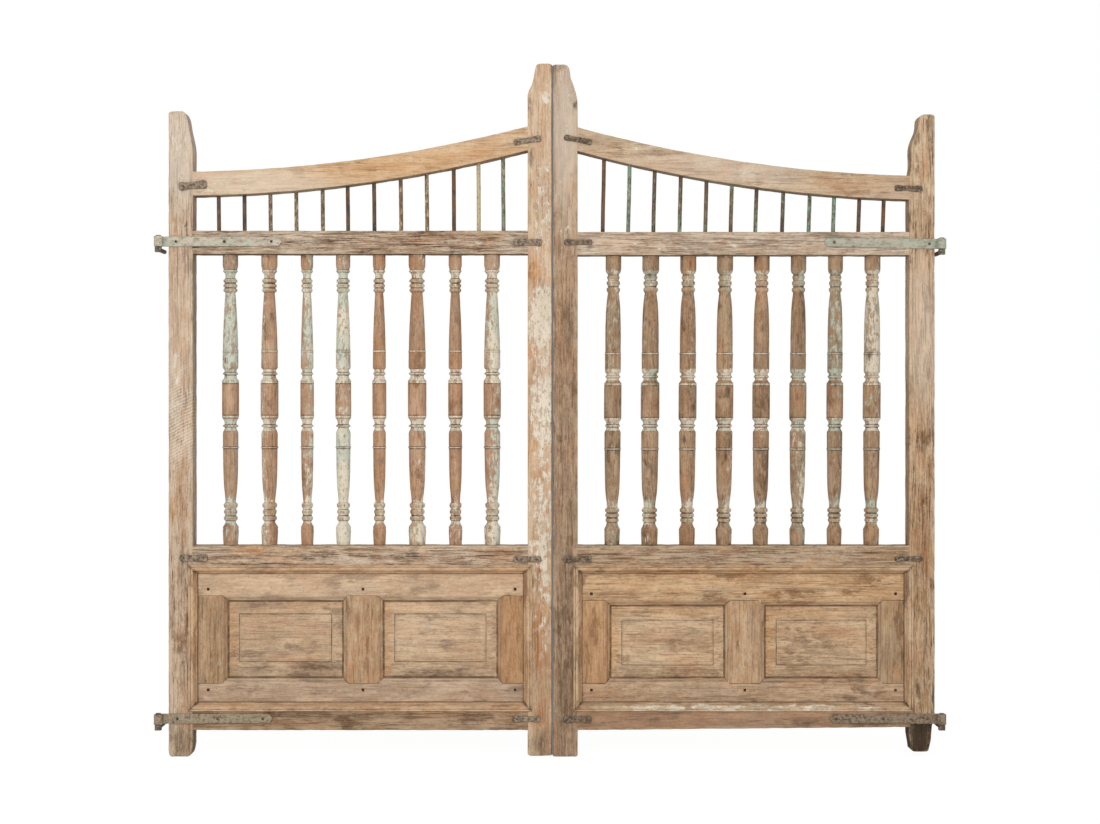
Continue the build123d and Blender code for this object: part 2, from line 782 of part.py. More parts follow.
def leaf_pieces(leaf):
    """Every piece of a leaf by name, in the leaf's own frame. A piece may be several solids."""
    heights = tenon_heights(leaf)
    rods, rod_sockets = rods_and_sockets(leaf)
    turned, pin_sockets = balusters_and_sockets(leaf)
    frame_pieces, pegs = panel_frame(leaf)

    meeting_face = stile_face(
        leaf.inner_meeting, leaf.meeting_edge, leaf.meeting_top, leaf.meeting_foot,
        leaf.meeting_horn, plain_foot, plain_foot,
    )
    hinge_face = stile_face(
        leaf.inner_hinge, leaf.width, leaf.hinge_top, leaf.hinge_foot,
        leaf.hinge_horn, leaf.inner_foot, leaf.outer_foot,
    )
    stiles = {
        "meeting_stile": board(meeting_face, (front_y, -front_y)) - planed_off(leaf),
        "hinge_stile": board(hinge_face, (front_y, -front_y)),
    }
    rails = rail_bodies(leaf)
    for name, (at_meeting, at_hinge) in heights.items():
        slots = rail_tenons(leaf, at_meeting, at_hinge, joint_gap)
        stiles["meeting_stile"] -= slots[0]
        stiles["hinge_stile"] -= slots[1]
        for tenon in rail_tenons(leaf, at_meeting, at_hinge):
            rails[name] += tenon
    rails["arched_rail"] -= rod_sockets
    rails["middle_rail"] -= rod_sockets + pin_sockets
    rails["lock_rail"] -= pin_sockets

    straps = {
        "hinge_strap_upper": hinge_strap(leaf, leaf.upper_strap),
        "hinge_strap_lower": hinge_strap(leaf, leaf.lower_strap),
    }
    holes = [place * nail_hole() for place, _ in nail_places(leaf)]
    wood = {**stiles, **rails}
    for group in (wood, straps):
        for name in group:
            group[name] -= holes
    ties = [tie_strap(leaf, tie) - holes for tie in leaf.ties]
    nails = [place * nail(thickness) for place, thickness in nail_places(leaf)]

    pieces = {**wood, **frame_pieces, **straps}
    pieces["panel_meeting_side"], pieces["panel_hinge_side"] = panels(leaf)
    for number, piece in enumerate(turned, 1):
        pieces[f"baluster_{number}"] = piece
    pieces["top_rods"] = Compound(rods)
    pieces["panel_moulding"] = Compound(panel_moulding(leaf))
    pieces["tie_straps"] = Compound(ties)
    pieces["nails"] = Compound(nails)
    pieces["panel_pegs"] = Compound(pegs)
    return pieces


def placed(leaf, piece):
    """A piece of a leaf, moved from the leaf's own frame to its place in the gate."""
    if leaf.side < 0:
        piece = mirror(piece, about=Plane.YZ)
    return Pos(split_x, 0, 0) * piece


for leaf in (left, right):
    for name, piece in leaf_pieces(leaf).items():
        export_step(placed(leaf, piece), f"parts/{leaf.name}_{name}.step")
    for level, strap in (("upper", leaf.upper_strap), ("lower", leaf.lower_strap)):
        export_step(placed(leaf, pintle(leaf, strap)), f"parts/{leaf.name}_pintle_{level}.step")
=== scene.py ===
# A pair of reclaimed wooden garden gate leaves: worn timber, turned balusters and rusty ironwork.
# Lengths are in metres. X runs along the gate, the viewer is at -Y and +Z is up.
import math
import bmesh
import bpy
import numpy as np
from mathutils import Matrix, Vector, noise


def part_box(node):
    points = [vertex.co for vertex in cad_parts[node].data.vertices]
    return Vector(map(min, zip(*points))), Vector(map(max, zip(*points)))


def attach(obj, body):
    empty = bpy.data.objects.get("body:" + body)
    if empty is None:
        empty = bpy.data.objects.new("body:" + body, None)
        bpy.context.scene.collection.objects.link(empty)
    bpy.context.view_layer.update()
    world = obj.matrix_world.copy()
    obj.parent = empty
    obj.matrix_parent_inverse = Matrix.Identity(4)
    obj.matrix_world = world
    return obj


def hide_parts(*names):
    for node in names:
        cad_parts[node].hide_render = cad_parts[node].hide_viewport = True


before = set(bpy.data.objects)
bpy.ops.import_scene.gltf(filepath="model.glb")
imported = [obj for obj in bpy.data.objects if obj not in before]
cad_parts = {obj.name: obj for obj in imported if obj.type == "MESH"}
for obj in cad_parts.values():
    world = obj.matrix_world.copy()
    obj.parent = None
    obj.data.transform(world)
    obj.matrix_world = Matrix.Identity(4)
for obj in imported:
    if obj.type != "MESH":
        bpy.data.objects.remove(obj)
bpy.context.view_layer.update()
print("loaded", len(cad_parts), "pieces")

# The photograph: where the camera stood, and how long one of its pixels is on the front of the gate
photo = {"width": 1100, "height": 824, "pixel": 0.0026, "distance": 4.9, "eyeHeight": 0.897}
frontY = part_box("left_meeting_stile")[0].y
sides = ("left", "right")


def photoPoint(px, py):
    x = (px - photo["width"] / 2) * photo["pixel"]
    z = photo["eyeHeight"] + (photo["height"] / 2 - py) * photo["pixel"]
    return x, z


def tint(code):
    # a colour written as it looks on a screen, as the linear values that Blender wants
    parts = [int(code[i:i + 2], 16) / 255 for i in (1, 3, 5)]
    linear = [c / 12.92 if c <= 0.04045 else ((c + 0.055) / 1.055) ** 2.4 for c in parts]
    return (*linear, 1.0)


# Node helpers, for shaders and for Geometry Nodes

def addNode(tree, kind, inputs=None, **settings):
    node = tree.nodes.new(kind)
    for key, value in settings.items():
        setattr(node, key, value)
    for key, value in (inputs or {}).items():
        if isinstance(value, bpy.types.NodeSocket):
            tree.links.new(value, node.inputs[key])
        else:
            node.inputs[key].default_value = value
    return node


def calc(tree, operation, first, second=0.0, clamp=False):
    node = addNode(tree, "ShaderNodeMath", {0: first, 1: second}, operation=operation, use_clamp=clamp)
    return node.outputs[0]


def times(tree, first, second, clamp=False):
    return calc(tree, "MULTIPLY", first, second, clamp)


def plus(tree, first, second):
    return calc(tree, "ADD", first, second)


def minus(tree, first, second, clamp=False):
    return calc(tree, "SUBTRACT", first, second, clamp)


def smoothStep(tree, value, low, high, toLow=0.0, toHigh=1.0):
    inputs = {"Value": value, "From Min": low, "From Max": high, "To Min": toLow, "To Max": toHigh}
    return addNode(tree, "ShaderNodeMapRange", inputs, interpolation_type="SMOOTHSTEP").outputs["Result"]


def blendColor(tree, factor, first, second, mode="MIX"):
    node = addNode(tree, "ShaderNodeMix", {0: factor, 6: first, 7: second}, data_type="RGBA", blend_type=mode)
    return node.outputs[2]


def stretched(tree, vector, scale, shift=(0.0, 0.0, 0.0)):
    inputs = {"Vector": vector, "Scale": scale, "Location": shift}
    return addNode(tree, "ShaderNodeMapping", inputs).outputs["Vector"]


def grainNoise(tree, vector, scale, detail=3.0, roughness=0.6, distortion=0.0, shift=(0.0, 0.0, 0.0)):
    inputs = {
        "Vector": stretched(tree, vector, scale, shift), "Scale": 1.0, "Detail": detail,
        "Roughness": roughness, "Distortion": distortion,
    }
    return addNode(tree, "ShaderNodeTexNoise", inputs).outputs["Fac"]


def newGroup(name, kind, inputs, outputs):
    # an input is given by its plain value, or by the word for its kind of socket where it has none
    words = {tuple: "Color", float: "Float", int: "Int"}
    group = bpy.data.node_groups.new(name, kind)
    for label, value in inputs.items():
        word = words.get(type(value), value)
        socket = group.interface.new_socket(name=label, in_out="INPUT", socket_type=f"NodeSocket{word}")
        if type(value) in words:
            socket.default_value = value
    for label, word in outputs.items():
        group.interface.new_socket(name=label, in_out="OUTPUT", socket_type=f"NodeSocket{word}")
    return group, group.nodes.new("NodeGroupInput").outputs, group.nodes.new("NodeGroupOutput").inputs


def useGroup(tree, group, inputs):
    return addNode(tree, "ShaderNodeGroup", inputs, node_tree=group).outputs


# Shared effects

def weatheredGrain():
    # old timber whose grain runs along Z of the vector it is given
    group, given, out = newGroup(
        "weathered grain", "ShaderNodeTree",
        {
            "Vector": "Vector", "Light": tint("#d8c1a5"), "Middle": tint("#bf9f7d"), "Dark": tint("#8f6f52"),
            "Streaks": 0.6, "Figure": 0.5, "Cracks": 0.5,
        },
        {"Color": "Color", "Height": "Float"},
    )
    vector = given["Vector"]
    broad = grainNoise(group, vector, (22, 22, 3.2), detail=4, distortion=0.5)
    patchy = grainNoise(group, vector, (34, 34, 16), detail=7, roughness=0.75, shift=(3, 1, 7))
    coarse = grainNoise(group, vector, (150, 150, 6), detail=7, roughness=0.78, distortion=0.15)
    fine = grainNoise(group, vector, (360, 360, 14), detail=4, roughness=0.75, shift=(5, 2, 1))
    mottled = plus(group, times(group, broad, 0.4), times(group, patchy, 0.6))
    color = blendColor(group, smoothStep(group, mottled, 0.42, 0.58), given["Light"], given["Middle"])
    grey = smoothStep(group, grainNoise(group, vector, (15, 15, 6), detail=6, shift=(8, 3, 3)), 0.52, 0.62)
    color = blendColor(group, times(group, grey, 0.38), color, tint("#9a8a76"))
    rosy = smoothStep(group, grainNoise(group, vector, (18, 18, 7), detail=6, shift=(1, 7, 5)), 0.53, 0.62)
    color = blendColor(group, times(group, rosy, 0.45), color, tint("#c0906a"))
    brown = smoothStep(group, grainNoise(group, vector, (24, 24, 10), detail=7, shift=(6, 4, 2)), 0.56, 0.66)
    color = blendColor(group, times(group, brown, 0.7), color, given["Dark"])
    speckle = grainNoise(group, vector, (210, 210, 120), detail=5, roughness=0.8, shift=(2, 9, 6))
    color = blendColor(group, smoothStep(group, speckle, 0.54, 0.64, toHigh=0.6), color, given["Light"])
    color = blendColor(group, smoothStep(group, speckle, 0.46, 0.36, toHigh=0.6), color, given["Dark"])
    split = addNode(group, "ShaderNodeSeparateXYZ", {0: vector})
    across = plus(group, split.outputs[0], split.outputs[1])
    phase = plus(group, times(group, across, 260.0), times(group, broad, 34.0))
    ring = smoothStep(group, calc(group, "SINE", phase), 0.2, 0.95)
    color = blendColor(
        group, times(group, ring, times(group, given["Figure"], 0.5)), color, given["Dark"])
    dark = times(group, smoothStep(group, coarse, 0.54, 0.62), given["Streaks"])
    color = blendColor(group, dark, color, given["Dark"])
    pale = times(group, smoothStep(group, fine, 0.54, 0.62), given["Streaks"])
    color = blendColor(group, times(group, pale, 0.9), color, given["Light"])
    thin = times(group, smoothStep(group, fine, 0.45, 0.38), given["Streaks"])
    color = blendColor(group, times(group, thin, 0.85), color, given["Dark"])
    line = calc(group, "ABSOLUTE", minus(group, grainNoise(
        group, vector, (60, 60, 2.2), detail=4, roughness=0.5, distortion=0.2, shift=(1, 8, 4)), 0.5))
    here = smoothStep(group, grainNoise(group, vector, (26, 26, 5), detail=2, shift=(9, 9, 2)), 0.44, 0.52)
    crack = times(group, smoothStep(group, line, 0.012, 0.004), here)
    crack = times(group, crack, given["Cracks"], clamp=True)
    color = blendColor(group, times(group, crack, 0.9), color, tint("#4d3a2a"))
    relief = plus(group, times(group, coarse, -0.6), times(group, fine, 0.7))
    relief = minus(group, relief, times(group, crack, 1.4))
    group.links.new(color, out["Color"])
    group.links.new(relief, out["Height"])
    return group


def flakedPaint():
    # remains of old paint in flakes that follow the grain; Amount is how much of it is left, and the rim
    # output is a painted shadow line round each flake
    group, given, out = newGroup(
        "flaked paint", "ShaderNodeTree",
        {
            "Vector": "Vector", "Fineness": 1.0, "Amount": 0.3, "First": tint("#e2d6c0"),
            "Second": tint("#c3ccba"), "Hue": 0.5,
        },
        {"Color": "Color", "Mask": "Float", "RimShadow": "Float"},
    )
    vector = addNode(group, "ShaderNodeVectorMath", {0: given["Vector"], "Scale": given["Fineness"]},
                     operation="SCALE").outputs[0]
    flakes = grainNoise(group, vector, (62, 62, 30), detail=7, roughness=0.7, distortion=0.35)
    streak = grainNoise(group, vector, (230, 230, 22), detail=4, roughness=0.7, shift=(2, 6, 3))
    together = plus(group, times(group, flakes, 0.68), times(group, streak, 0.32))
    limit = minus(group, 0.72, times(group, given["Amount"], 0.44))
    above = minus(group, together, limit)
    firm = smoothStep(group, above, -0.01, 0.012)
    thin = smoothStep(group, above, -0.1, 0.0, toHigh=0.38)
    mask = calc(group, "MAXIMUM", firm, thin)
    # painted shadow: a thin dark line just outside each flake's edge
    rim = minus(group, smoothStep(group, above, -0.035, -0.006), firm, clamp=True)
    cloud = grainNoise(group, vector, (17, 17, 8), detail=4, shift=(4, 4, 9))
    leaning = plus(group, cloud, times(group, minus(group, given["Hue"], 0.5), 0.5))
    color = blendColor(group, smoothStep(group, leaning, 0.44, 0.58), given["First"], given["Second"])
    shade = grainNoise(group, vector, (120, 120, 60), detail=6, roughness=0.8, shift=(6, 1, 5))
    color = blendColor(group, smoothStep(group, shade, 0.5, 0.62, toHigh=0.4), color, tint("#a3947c"))
    color = blendColor(group, smoothStep(group, shade, 0.57, 0.64, toHigh=0.8), color, tint("#7d6851"))
    group.links.new(color, out["Color"])
    group.links.new(mask, out["Mask"])
    group.links.new(rim, out["RimShadow"])
    return group


def dirtShadeWearAndHighlight():
    # dark dirt and painted shade where the dirt input is high, and a paler line along edges: rubbed wear on
    # worn corners, and a painted highlight on the moulding's rounded bead
    group, given, out = newGroup(
        "dirt_and_shade, wear and highlight", "ShaderNodeTree",
        {
            "Vector": "Vector", "Color": (0.5, 0.5, 0.5, 1), "DirtAndShade": 0.0, "DirtAndShade color": tint("#4b3a2b"),
            "Edge": 0.0, "Edge color": tint("#cdb491"),
        },
        {"Color": "Color"},
    )
    vector = given["Vector"]
    speckle = grainNoise(group, vector, (120, 120, 45), detail=5, roughness=0.7)
    cloudy = plus(group, given["DirtAndShade"], times(group, minus(group, speckle, 0.5), 1.1))
    amount = times(group, smoothStep(group, cloudy, 0.12, 1.0), 0.92)
    color = blendColor(group, amount, given["Color"], given["DirtAndShade color"])
    edgeNoise = grainNoise(group, vector, (60, 60, 30), detail=4, shift=(7, 3, 1))
    wearAndHighlight = times(group, given["Edge"], smoothStep(group, edgeNoise, 0.38, 0.62, toHigh=0.55))
    group.links.new(blendColor(group, wearAndHighlight, color, given["Edge color"]), out["Color"])
    return group


def rustedIron():
    group, given, out = newGroup(
        "rusted iron", "ShaderNodeTree",
        {
            "Vector": "Vector", "Iron": tint("#4a4036"), "Rust": tint("#7a5b40"), "Rusty": 0.0,
            "Dust": tint("#a99b86"), "Dusty": 0.4,
        },
        {"Color": "Color", "Height": "Float"},
    )
    vector = given["Vector"]
    scale = grainNoise(group, vector, (120, 120, 120), detail=6, roughness=0.7)
    broad = grainNoise(group, vector, (34, 34, 34), detail=4, roughness=0.6, shift=(3, 3, 3))
    pits = grainNoise(group, vector, (330, 330, 330), detail=3, roughness=0.6, shift=(1, 5, 2))
    rusty = plus(group, broad, times(group, given["Rusty"], 0.25))
    color = blendColor(group, smoothStep(group, rusty, 0.4, 0.6), given["Iron"], given["Rust"])
    limit = minus(group, 0.74, times(group, given["Dusty"], 0.46))
    dust = smoothStep(group, minus(group, scale, limit), -0.1, 0.08)
    color = blendColor(group, dust, color, given["Dust"])
    color = blendColor(group, smoothStep(group, pits, 0.58, 0.72, toHigh=0.55), color, tint("#33291f"))
    relief = plus(group, times(group, scale, 0.6), times(group, pits, -0.4))
    group.links.new(color, out["Color"])
    group.links.new(relief, out["Height"])
    return group


def rectangleDistance():
    # how far a point of the gate's face lies outside a rectangle, in metres; less than 0 is inside
    group, given, out = newGroup(
        "rectangle distance", "ShaderNodeTree",
        {"Middle X": 0.0, "Middle Z": 0.0, "Half width": 0.1, "Half height": 0.1},
        {"Distance": "Float"},
    )
    place = addNode(group, "ShaderNodeTexCoord").outputs["Object"]
    split = addNode(group, "ShaderNodeSeparateXYZ", {0: place})
    parts = []
    for axis, middle, half in ((0, "Middle X", "Half width"), (2, "Middle Z", "Half height")):
        offset = calc(group, "ABSOLUTE", minus(group, split.outputs[axis], given[middle]))
        parts.append(minus(group, offset, given[half]))
    group.links.new(calc(group, "MAXIMUM", parts[0], parts[1]), out["Distance"])
    return group


grainGroup = weatheredGrain()
paintGroup = flakedPaint()
dirtShadeWearGroup = dirtShadeWearAndHighlight()
rustGroup = rustedIron()
distanceGroup = rectangleDistance()


def grainVector(tree, grain):
    # Object coordinates with the grain turned to run along Z
    place = addNode(tree, "ShaderNodeTexCoord").outputs["Object"]
    if grain == "Z":
        return place
    split = addNode(tree, "ShaderNodeSeparateXYZ", {0: place})
    if grain == "run":
        return addNode(tree, "ShaderNodeCombineXYZ", {
            0: attribute(tree, "across"), 1: split.outputs[1], 2: attribute(tree, "run")}).outputs[0]
    return addNode(tree, "ShaderNodeCombineXYZ", {
        0: split.outputs[2], 1: split.outputs[1], 2: split.outputs[0]}).outputs[0]


def attribute(tree, name):
    return addNode(tree, "ShaderNodeAttribute", attribute_name=name).outputs["Fac"]


def startMaterial(name):
    material = bpy.data.materials.new(name)
    material.use_nodes = True
    tree = material.node_tree
    return material, tree, tree.nodes["Principled BSDF"]


def ruledShadeLines(tree, lines):
    # how strongly thin lines of painted shade round rectangles show, at creases and gaps; each line is the
    # two corners of its rectangle, its offset, width and strength
    total = 0.0
    for low, high, offset, width, strength in lines:
        distance = useGroup(tree, distanceGroup, {
            "Middle X": (low[0] + high[0]) / 2, "Middle Z": (low[1] + high[1]) / 2,
            "Half width": (high[0] - low[0]) / 2, "Half height": (high[1] - low[1]) / 2})["Distance"]
        away = calc(tree, "ABSOLUTE", minus(tree, distance, offset))
        total = calc(tree, "MAXIMUM", smoothStep(tree, away, width, 0.15 * width, 0.0, strength), total)
    return total


warmLight = (1.0, 0.80, 0.60, 1.0)
darkTimber = (0.58, 0.48, 0.38, 1.0)
sawPitch = 0.0085


def sawMarks(tree):
    # slanting rows of short dashes left by a saw
    place = addNode(tree, "ShaderNodeTexCoord").outputs["Object"]
    split = addNode(tree, "ShaderNodeSeparateXYZ", {0: place})
    bend = grainNoise(tree, place, (9, 9, 5), detail=2, shift=(2, 2, 2))
    slanted = minus(tree, split.outputs[2], times(tree, split.outputs[0], 0.5))
    phase = times(tree, slanted, 2 * math.pi / sawPitch)
    phase = plus(tree, phase, times(tree, bend, 10.0))
    dashes = grainNoise(tree, place, (420, 60, 190), detail=3, shift=(3, 1, 1))
    rows = plus(tree, calc(tree, "SINE", phase), times(tree, dashes, 4.2))
    here = smoothStep(tree, grainNoise(tree, place, (30, 30, 14), detail=3, shift=(6, 2, 8)), 0.38, 0.52)
    return times(tree, smoothStep(tree, rows, 2.2, 2.9), here)


def woodMaterial(name, grain, look, bump=0.5):
    material, tree, surface = startMaterial(name)
    vector = grainVector(tree, grain)
    light, middle, dark = [tint(t) for t in look["tones"]]
    coatColors = look.get("coat", ("#e2d6c0", "#c9cdb9"))
    wood = useGroup(tree, grainGroup, {
        "Vector": vector, "Light": light, "Middle": middle, "Dark": dark,
        "Streaks": look.get("streaks", 0.5), "Figure": look.get("figure", 0.4),
        "Cracks": look.get("cracks", 0.5)})
    tone = attribute(tree, "tone")
    bleached = times(tree, minus(tree, tone, 0.5), 1.6, clamp=True)
    shaded = times(tree, minus(tree, 0.5, tone), 2.0, clamp=True)
    toned = blendColor(tree, bleached, wood["Color"], tint("#e2d4c4"))
    toned = blendColor(tree, shaded, toned, darkTimber, "MULTIPLY")
    warm = blendColor(tree, attribute(tree, "warmth"), toned, warmLight, "MULTIPLY")
    coat = useGroup(tree, paintGroup, {
        "Vector": vector, "Fineness": look.get("fineness", 1.0), "Amount": attribute(tree, "paint"),
        "First": tint(coatColors[0]), "Second": tint(coatColors[1]), "Hue": attribute(tree, "hue")})
    # painted shadow round the paint flakes, in the dark grain colour
    rimShaded = blendColor(tree, times(tree, coat["RimShadow"], look.get("rim", 0.5)), warm, dark)
    color = blendColor(tree, coat["Mask"], rimShaded, coat["Color"])
    height = plus(tree, wood["Height"], times(tree, coat["Mask"], 0.5))
    if "sawn" in look:
        saw = times(tree, attribute(tree, "sawn"), sawMarks(tree))
        color = blendColor(tree, times(tree, saw, 0.7), color, tint("#e9dac7"))
        height = plus(tree, height, saw)
    # painted shade lines along the gap between the leaves and round the panels' openings and fields
    if "lines" in look:
        blotches = grainNoise(tree, vector, (50, 50, 22), detail=4, shift=(2, 5, 1))
        uneven = smoothStep(tree, blotches, 0.3, 0.6, 0.45, 1.0)
        ruledShade = times(tree, ruledShadeLines(tree, look["lines"]), uneven)
        color = blendColor(tree, ruledShade, color, tint(look.get("lineColor", "#5b4330")))
    # the dirt attribute holds real dirt and painted shade alike
    final = useGroup(tree, dirtShadeWearGroup, {
        "Vector": vector, "Color": color, "DirtAndShade": attribute(tree, "dirt_and_shade"),
        "DirtAndShade color": tint(look.get("dirtShadeColor", "#4b3a2b")),
        "Edge": attribute(tree, "edge"), "Edge color": tint(look.get("edgeColor", "#cdb491"))})
    tree.links.new(final["Color"], surface.inputs["Base Color"])
    relief = addNode(tree, "ShaderNodeBump", {"Height": height, "Strength": bump, "Distance": 0.0012})
    tree.links.new(relief.outputs["Normal"], surface.inputs["Normal"])
    tree.links.new(smoothStep(tree, wood["Height"], -0.4, 0.6, 0.94, 0.8), surface.inputs["Roughness"])
    surface.inputs["Specular IOR Level"].default_value = 0.2
    return material


def ironMaterial(name, look, bump=0.6):
    material, tree, surface = startMaterial(name)
    vector = grainVector(tree, look.get("grain", "Z"))
    iron, rust, dust = [tint(t) for t in look["tones"]]
    metal = useGroup(tree, rustGroup, {
        "Vector": vector, "Iron": iron, "Rust": rust, "Rusty": attribute(tree, "warmth"), "Dust": dust,
        "Dusty": look["dusty"]})
    color = blendColor(tree, attribute(tree, "dirt_and_shade"), metal["Color"], tint("#2e2620"))
    height = metal["Height"]
    if "coat" in look:
        coat = useGroup(tree, paintGroup, {
            "Vector": vector, "Fineness": look.get("fineness", 1.0), "Amount": attribute(tree, "paint"),
            "First": tint(look["coat"][0]), "Second": tint(look["coat"][1]), "Hue": attribute(tree, "hue")})
        color = blendColor(tree, coat["Mask"], color, coat["Color"])
        height = plus(tree, height, times(tree, coat["Mask"], 0.4))
    tree.links.new(color, surface.inputs["Base Color"])
    relief = addNode(tree, "ShaderNodeBump", {"Height": height, "Strength": bump, "Distance": 0.001})
    tree.links.new(relief.outputs["Normal"], surface.inputs["Normal"])
    tree.links.new(smoothStep(tree, metal["Height"], 0.0, 0.6, 0.9, 0.72), surface.inputs["Roughness"])
    surface.inputs["Metallic"].default_value = 0.1
    surface.inputs["Specular IOR Level"].default_value = 0.25
    return material


# Reading places from the CAD pieces

def cadEdges(node):
    # both ends of every edge of a CAD piece
    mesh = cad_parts[node].data
    points = np.array([v.co for v in mesh.vertices], float)
    ends = np.array([e.vertices for e in mesh.edges], int)
    return points[ends[:, 0]], points[ends[:, 1]]


def sliceLimits(edges, axis, station, across):
    # lowest and highest place across a piece where a plane cuts it
    first, second = edges
    gap = (first[:, axis] - station) * (second[:, axis] - station) < 0
    a, b = first[gap], second[gap]
    share = (station - a[:, axis]) / (b[:, axis] - a[:, axis])
    cut = a[:, across] + share * (b[:, across] - a[:, across])
    return cut.min(), cut.max()


def islands(node):
    # the points of each separate solid in a CAD piece
    mesh = bmesh.new()
    mesh.from_mesh(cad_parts[node].data)
    bmesh.ops.remove_doubles(mesh, verts=mesh.verts[:], dist=1e-5)
    seen, found = set(), []
    for start in mesh.verts:
        if start in seen:
            continue
        seen.add(start)
        stack, group = [start], []
        while stack:
            vert = stack.pop()
            group.append(vert.co[:])
            for edge in vert.link_edges:
                other = edge.other_vert(vert)
                if other not in seen:
                    seen.add(other)
                    stack.append(other)
        found.append(np.array(group))
    mesh.free()
    return found


# Making and finishing meshes

def newObject(name, data):
    holder = bpy.data.objects.new(name, data)
    bpy.context.scene.collection.objects.link(holder)
    return holder


def meshObject(name, points, faces, lines=()):
    mesh = bpy.data.meshes.new(name)
    mesh.from_pydata([tuple(p) for p in points], lines, faces)
    mesh.update()
    return newObject(name, mesh)


def ringFaces(count, total):
    # quads between rings of count points each, and a cap on both ends
    faces = []
    for start in range(0, total - count, count):
        for k in range(count):
            a, b = start + k, start + (k + 1) % count
            faces.append((a, b, b + count, a + count))
    return faces + [tuple(range(count))[::-1], tuple(range(total - count, total))]


def squareUp(piece):
    # outward normals, and no face with more than four corners
    mesh = bmesh.new()
    mesh.from_mesh(piece.data)
    bmesh.ops.recalc_face_normals(mesh, faces=mesh.faces[:])
    bmesh.ops.triangulate(mesh, faces=[f for f in mesh.faces if len(f.verts) > 4])
    mesh.to_mesh(piece.data)
    mesh.free()


def setAttribute(piece, name, values):
    store = piece.data.attributes.get(name) or piece.data.attributes.new(name, "FLOAT", "POINT")
    store.data.foreach_set("value", np.asarray(values, np.float32))


def meshPoints(piece):
    points = np.empty(len(piece.data.vertices) * 3, np.float32)
    piece.data.vertices.foreach_get("co", points)
    return points.reshape(-1, 3).astype(float)


def wornInwards(piece, shape, seed):
    # moves the surface inwards only, so wear never makes a piece larger than it was
    wave, rough, chip = shape["wave"], shape["rough"], shape["chip"]
    mesh = piece.data
    edge = np.empty(len(mesh.vertices), np.float32)
    mesh.attributes["edge"].data.foreach_get("value", edge)
    shift = Vector((seed * 1.7, seed * 3.1, seed * 0.9))
    moved = []
    for vert, amount in zip(mesh.vertices, edge):
        place = vert.co + shift
        depth = wave * (0.5 + 0.5 * noise.noise(place * 9.0))
        depth += rough * (0.5 + 0.5 * noise.noise(place * 75.0))
        bite = max(0.0, noise.noise(place * 31.0) + 0.12) + 0.5 * max(0.0, noise.noise(place * 110.0))
        depth += chip * amount * bite
        moved.append(vert.co - vert.normal * depth)
    for vert, place in zip(mesh.vertices, moved):
        vert.co = place
    mesh.update()


def edgeFromAngles(piece, full=35.0):
    # marks points on sharp corners, for worn edges
    mesh = bmesh.new()
    mesh.from_mesh(piece.data)
    values = []
    for vert in mesh.verts:
        angles = [edge.calc_face_angle(0.0) for edge in vert.link_edges if len(edge.link_faces) == 2]
        values.append(min(1.0, math.degrees(max(angles, default=0.0)) / full))
    mesh.free()
    setAttribute(piece, "edge", values)


def patchMap(piece, name, level, patches):
    # a soft map of one effect: its level all over, raised or lowered in named patches of the photograph
    points = meshPoints(piece)
    before = np.zeros(len(points), np.float32)
    if name in piece.data.attributes:
        piece.data.attributes[name].data.foreach_get("value", before)
    values = np.maximum(np.full(len(points), level), before)
    for px, py, halfWidth, halfHeight, strength in patches.values():
        x, z = photoPoint(px, py)
        reach = np.hypot(
            (points[:, 0] - x) / (halfWidth * photo["pixel"]),
            (points[:, 2] - z) / (halfHeight * photo["pixel"]))
        share = np.clip(1.45 - reach, 0.0, 1.0)
        values = values + (strength - level) * share * share * (3 - 2 * share) * (strength != level)
    setAttribute(piece, name, np.clip(values, 0.0, 1.0))


def finish(piece, material, body, slot, *nodes):
    piece.data.materials.clear()
    piece.data.materials.append(material)
    plain = {"paint": 0.0, "dirt_and_shade": 0.0, "warmth": 0.0, "sawn": 0.0, "edge": 0.0, "hue": 0.5, "tone": 0.5}
    for name, value in plain.items():
        if name not in piece.data.attributes:
            setAttribute(piece, name, np.full(len(piece.data.vertices), value))
    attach(piece, body)
    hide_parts(*nodes)
    return piece


def applyMaps(piece, maps):
    # tone is 0.5 for plain timber, more where it has bleached and less where it has darkened
    for name in ("paint", "dirt_and_shade", "warmth", "sawn", "tone"):
        level, patches = maps.get(name, (0.5 if name == "tone" else 0.0, {}))
        patchMap(piece, name, level, patches)


# Timbers of the main frame: rings of a rounded rectangle along the timber

def sectionRing(low, high, front, back, corner, faceCuts, sideCuts, sideShade):
    # points round the section as (across, depth), with their edge values and their painted shade, which
    # darkens the side faces
    middles = [
        (low + corner, front + corner, 180), (high - corner, front + corner, 270),
        (high - corner, back - corner, 0), (low + corner, back - corner, 90),
    ]
    places, edges, dirt_and_shade = [], [], []
    for i, (u, v, start) in enumerate(middles):
        arc = []
        for turn in (0, 30, 60, 90):
            angle = math.radians(start + turn)
            arc.append((u + corner * math.cos(angle), v + corner * math.sin(angle)))
        places += arc
        edges += [0.8, 1.0, 1.0, 0.8]
        # painted shade on the side faces and their rounded corners
        lowSide, highSide = sideShade
        dirt_and_shade += [(lowSide, 0.8 * lowSide, 0.5 * lowSide, 0), (0, 0.5 * highSide, 0.8 * highSide, highSide),
                 (highSide, 0, 0, 0), (0, 0, 0, lowSide)][i]
        nextU, nextV, nextStart = middles[(i + 1) % 4]
        angle = math.radians(nextStart)
        target = (nextU + corner * math.cos(angle), nextV + corner * math.sin(angle))
        cuts = faceCuts if i in (0, 2) else sideCuts
        for k in range(1, cuts + 1):
            share = k / (cuts + 1)
            places.append(tuple(a + share * (b - a) for a, b in zip(arc[-1], target)))
            edges.append(0.25 if k in (1, cuts) else 0.0)
            dirt_and_shade.append((0.0, highSide, 0.0, lowSide)[i])
    return places, edges, dirt_and_shade


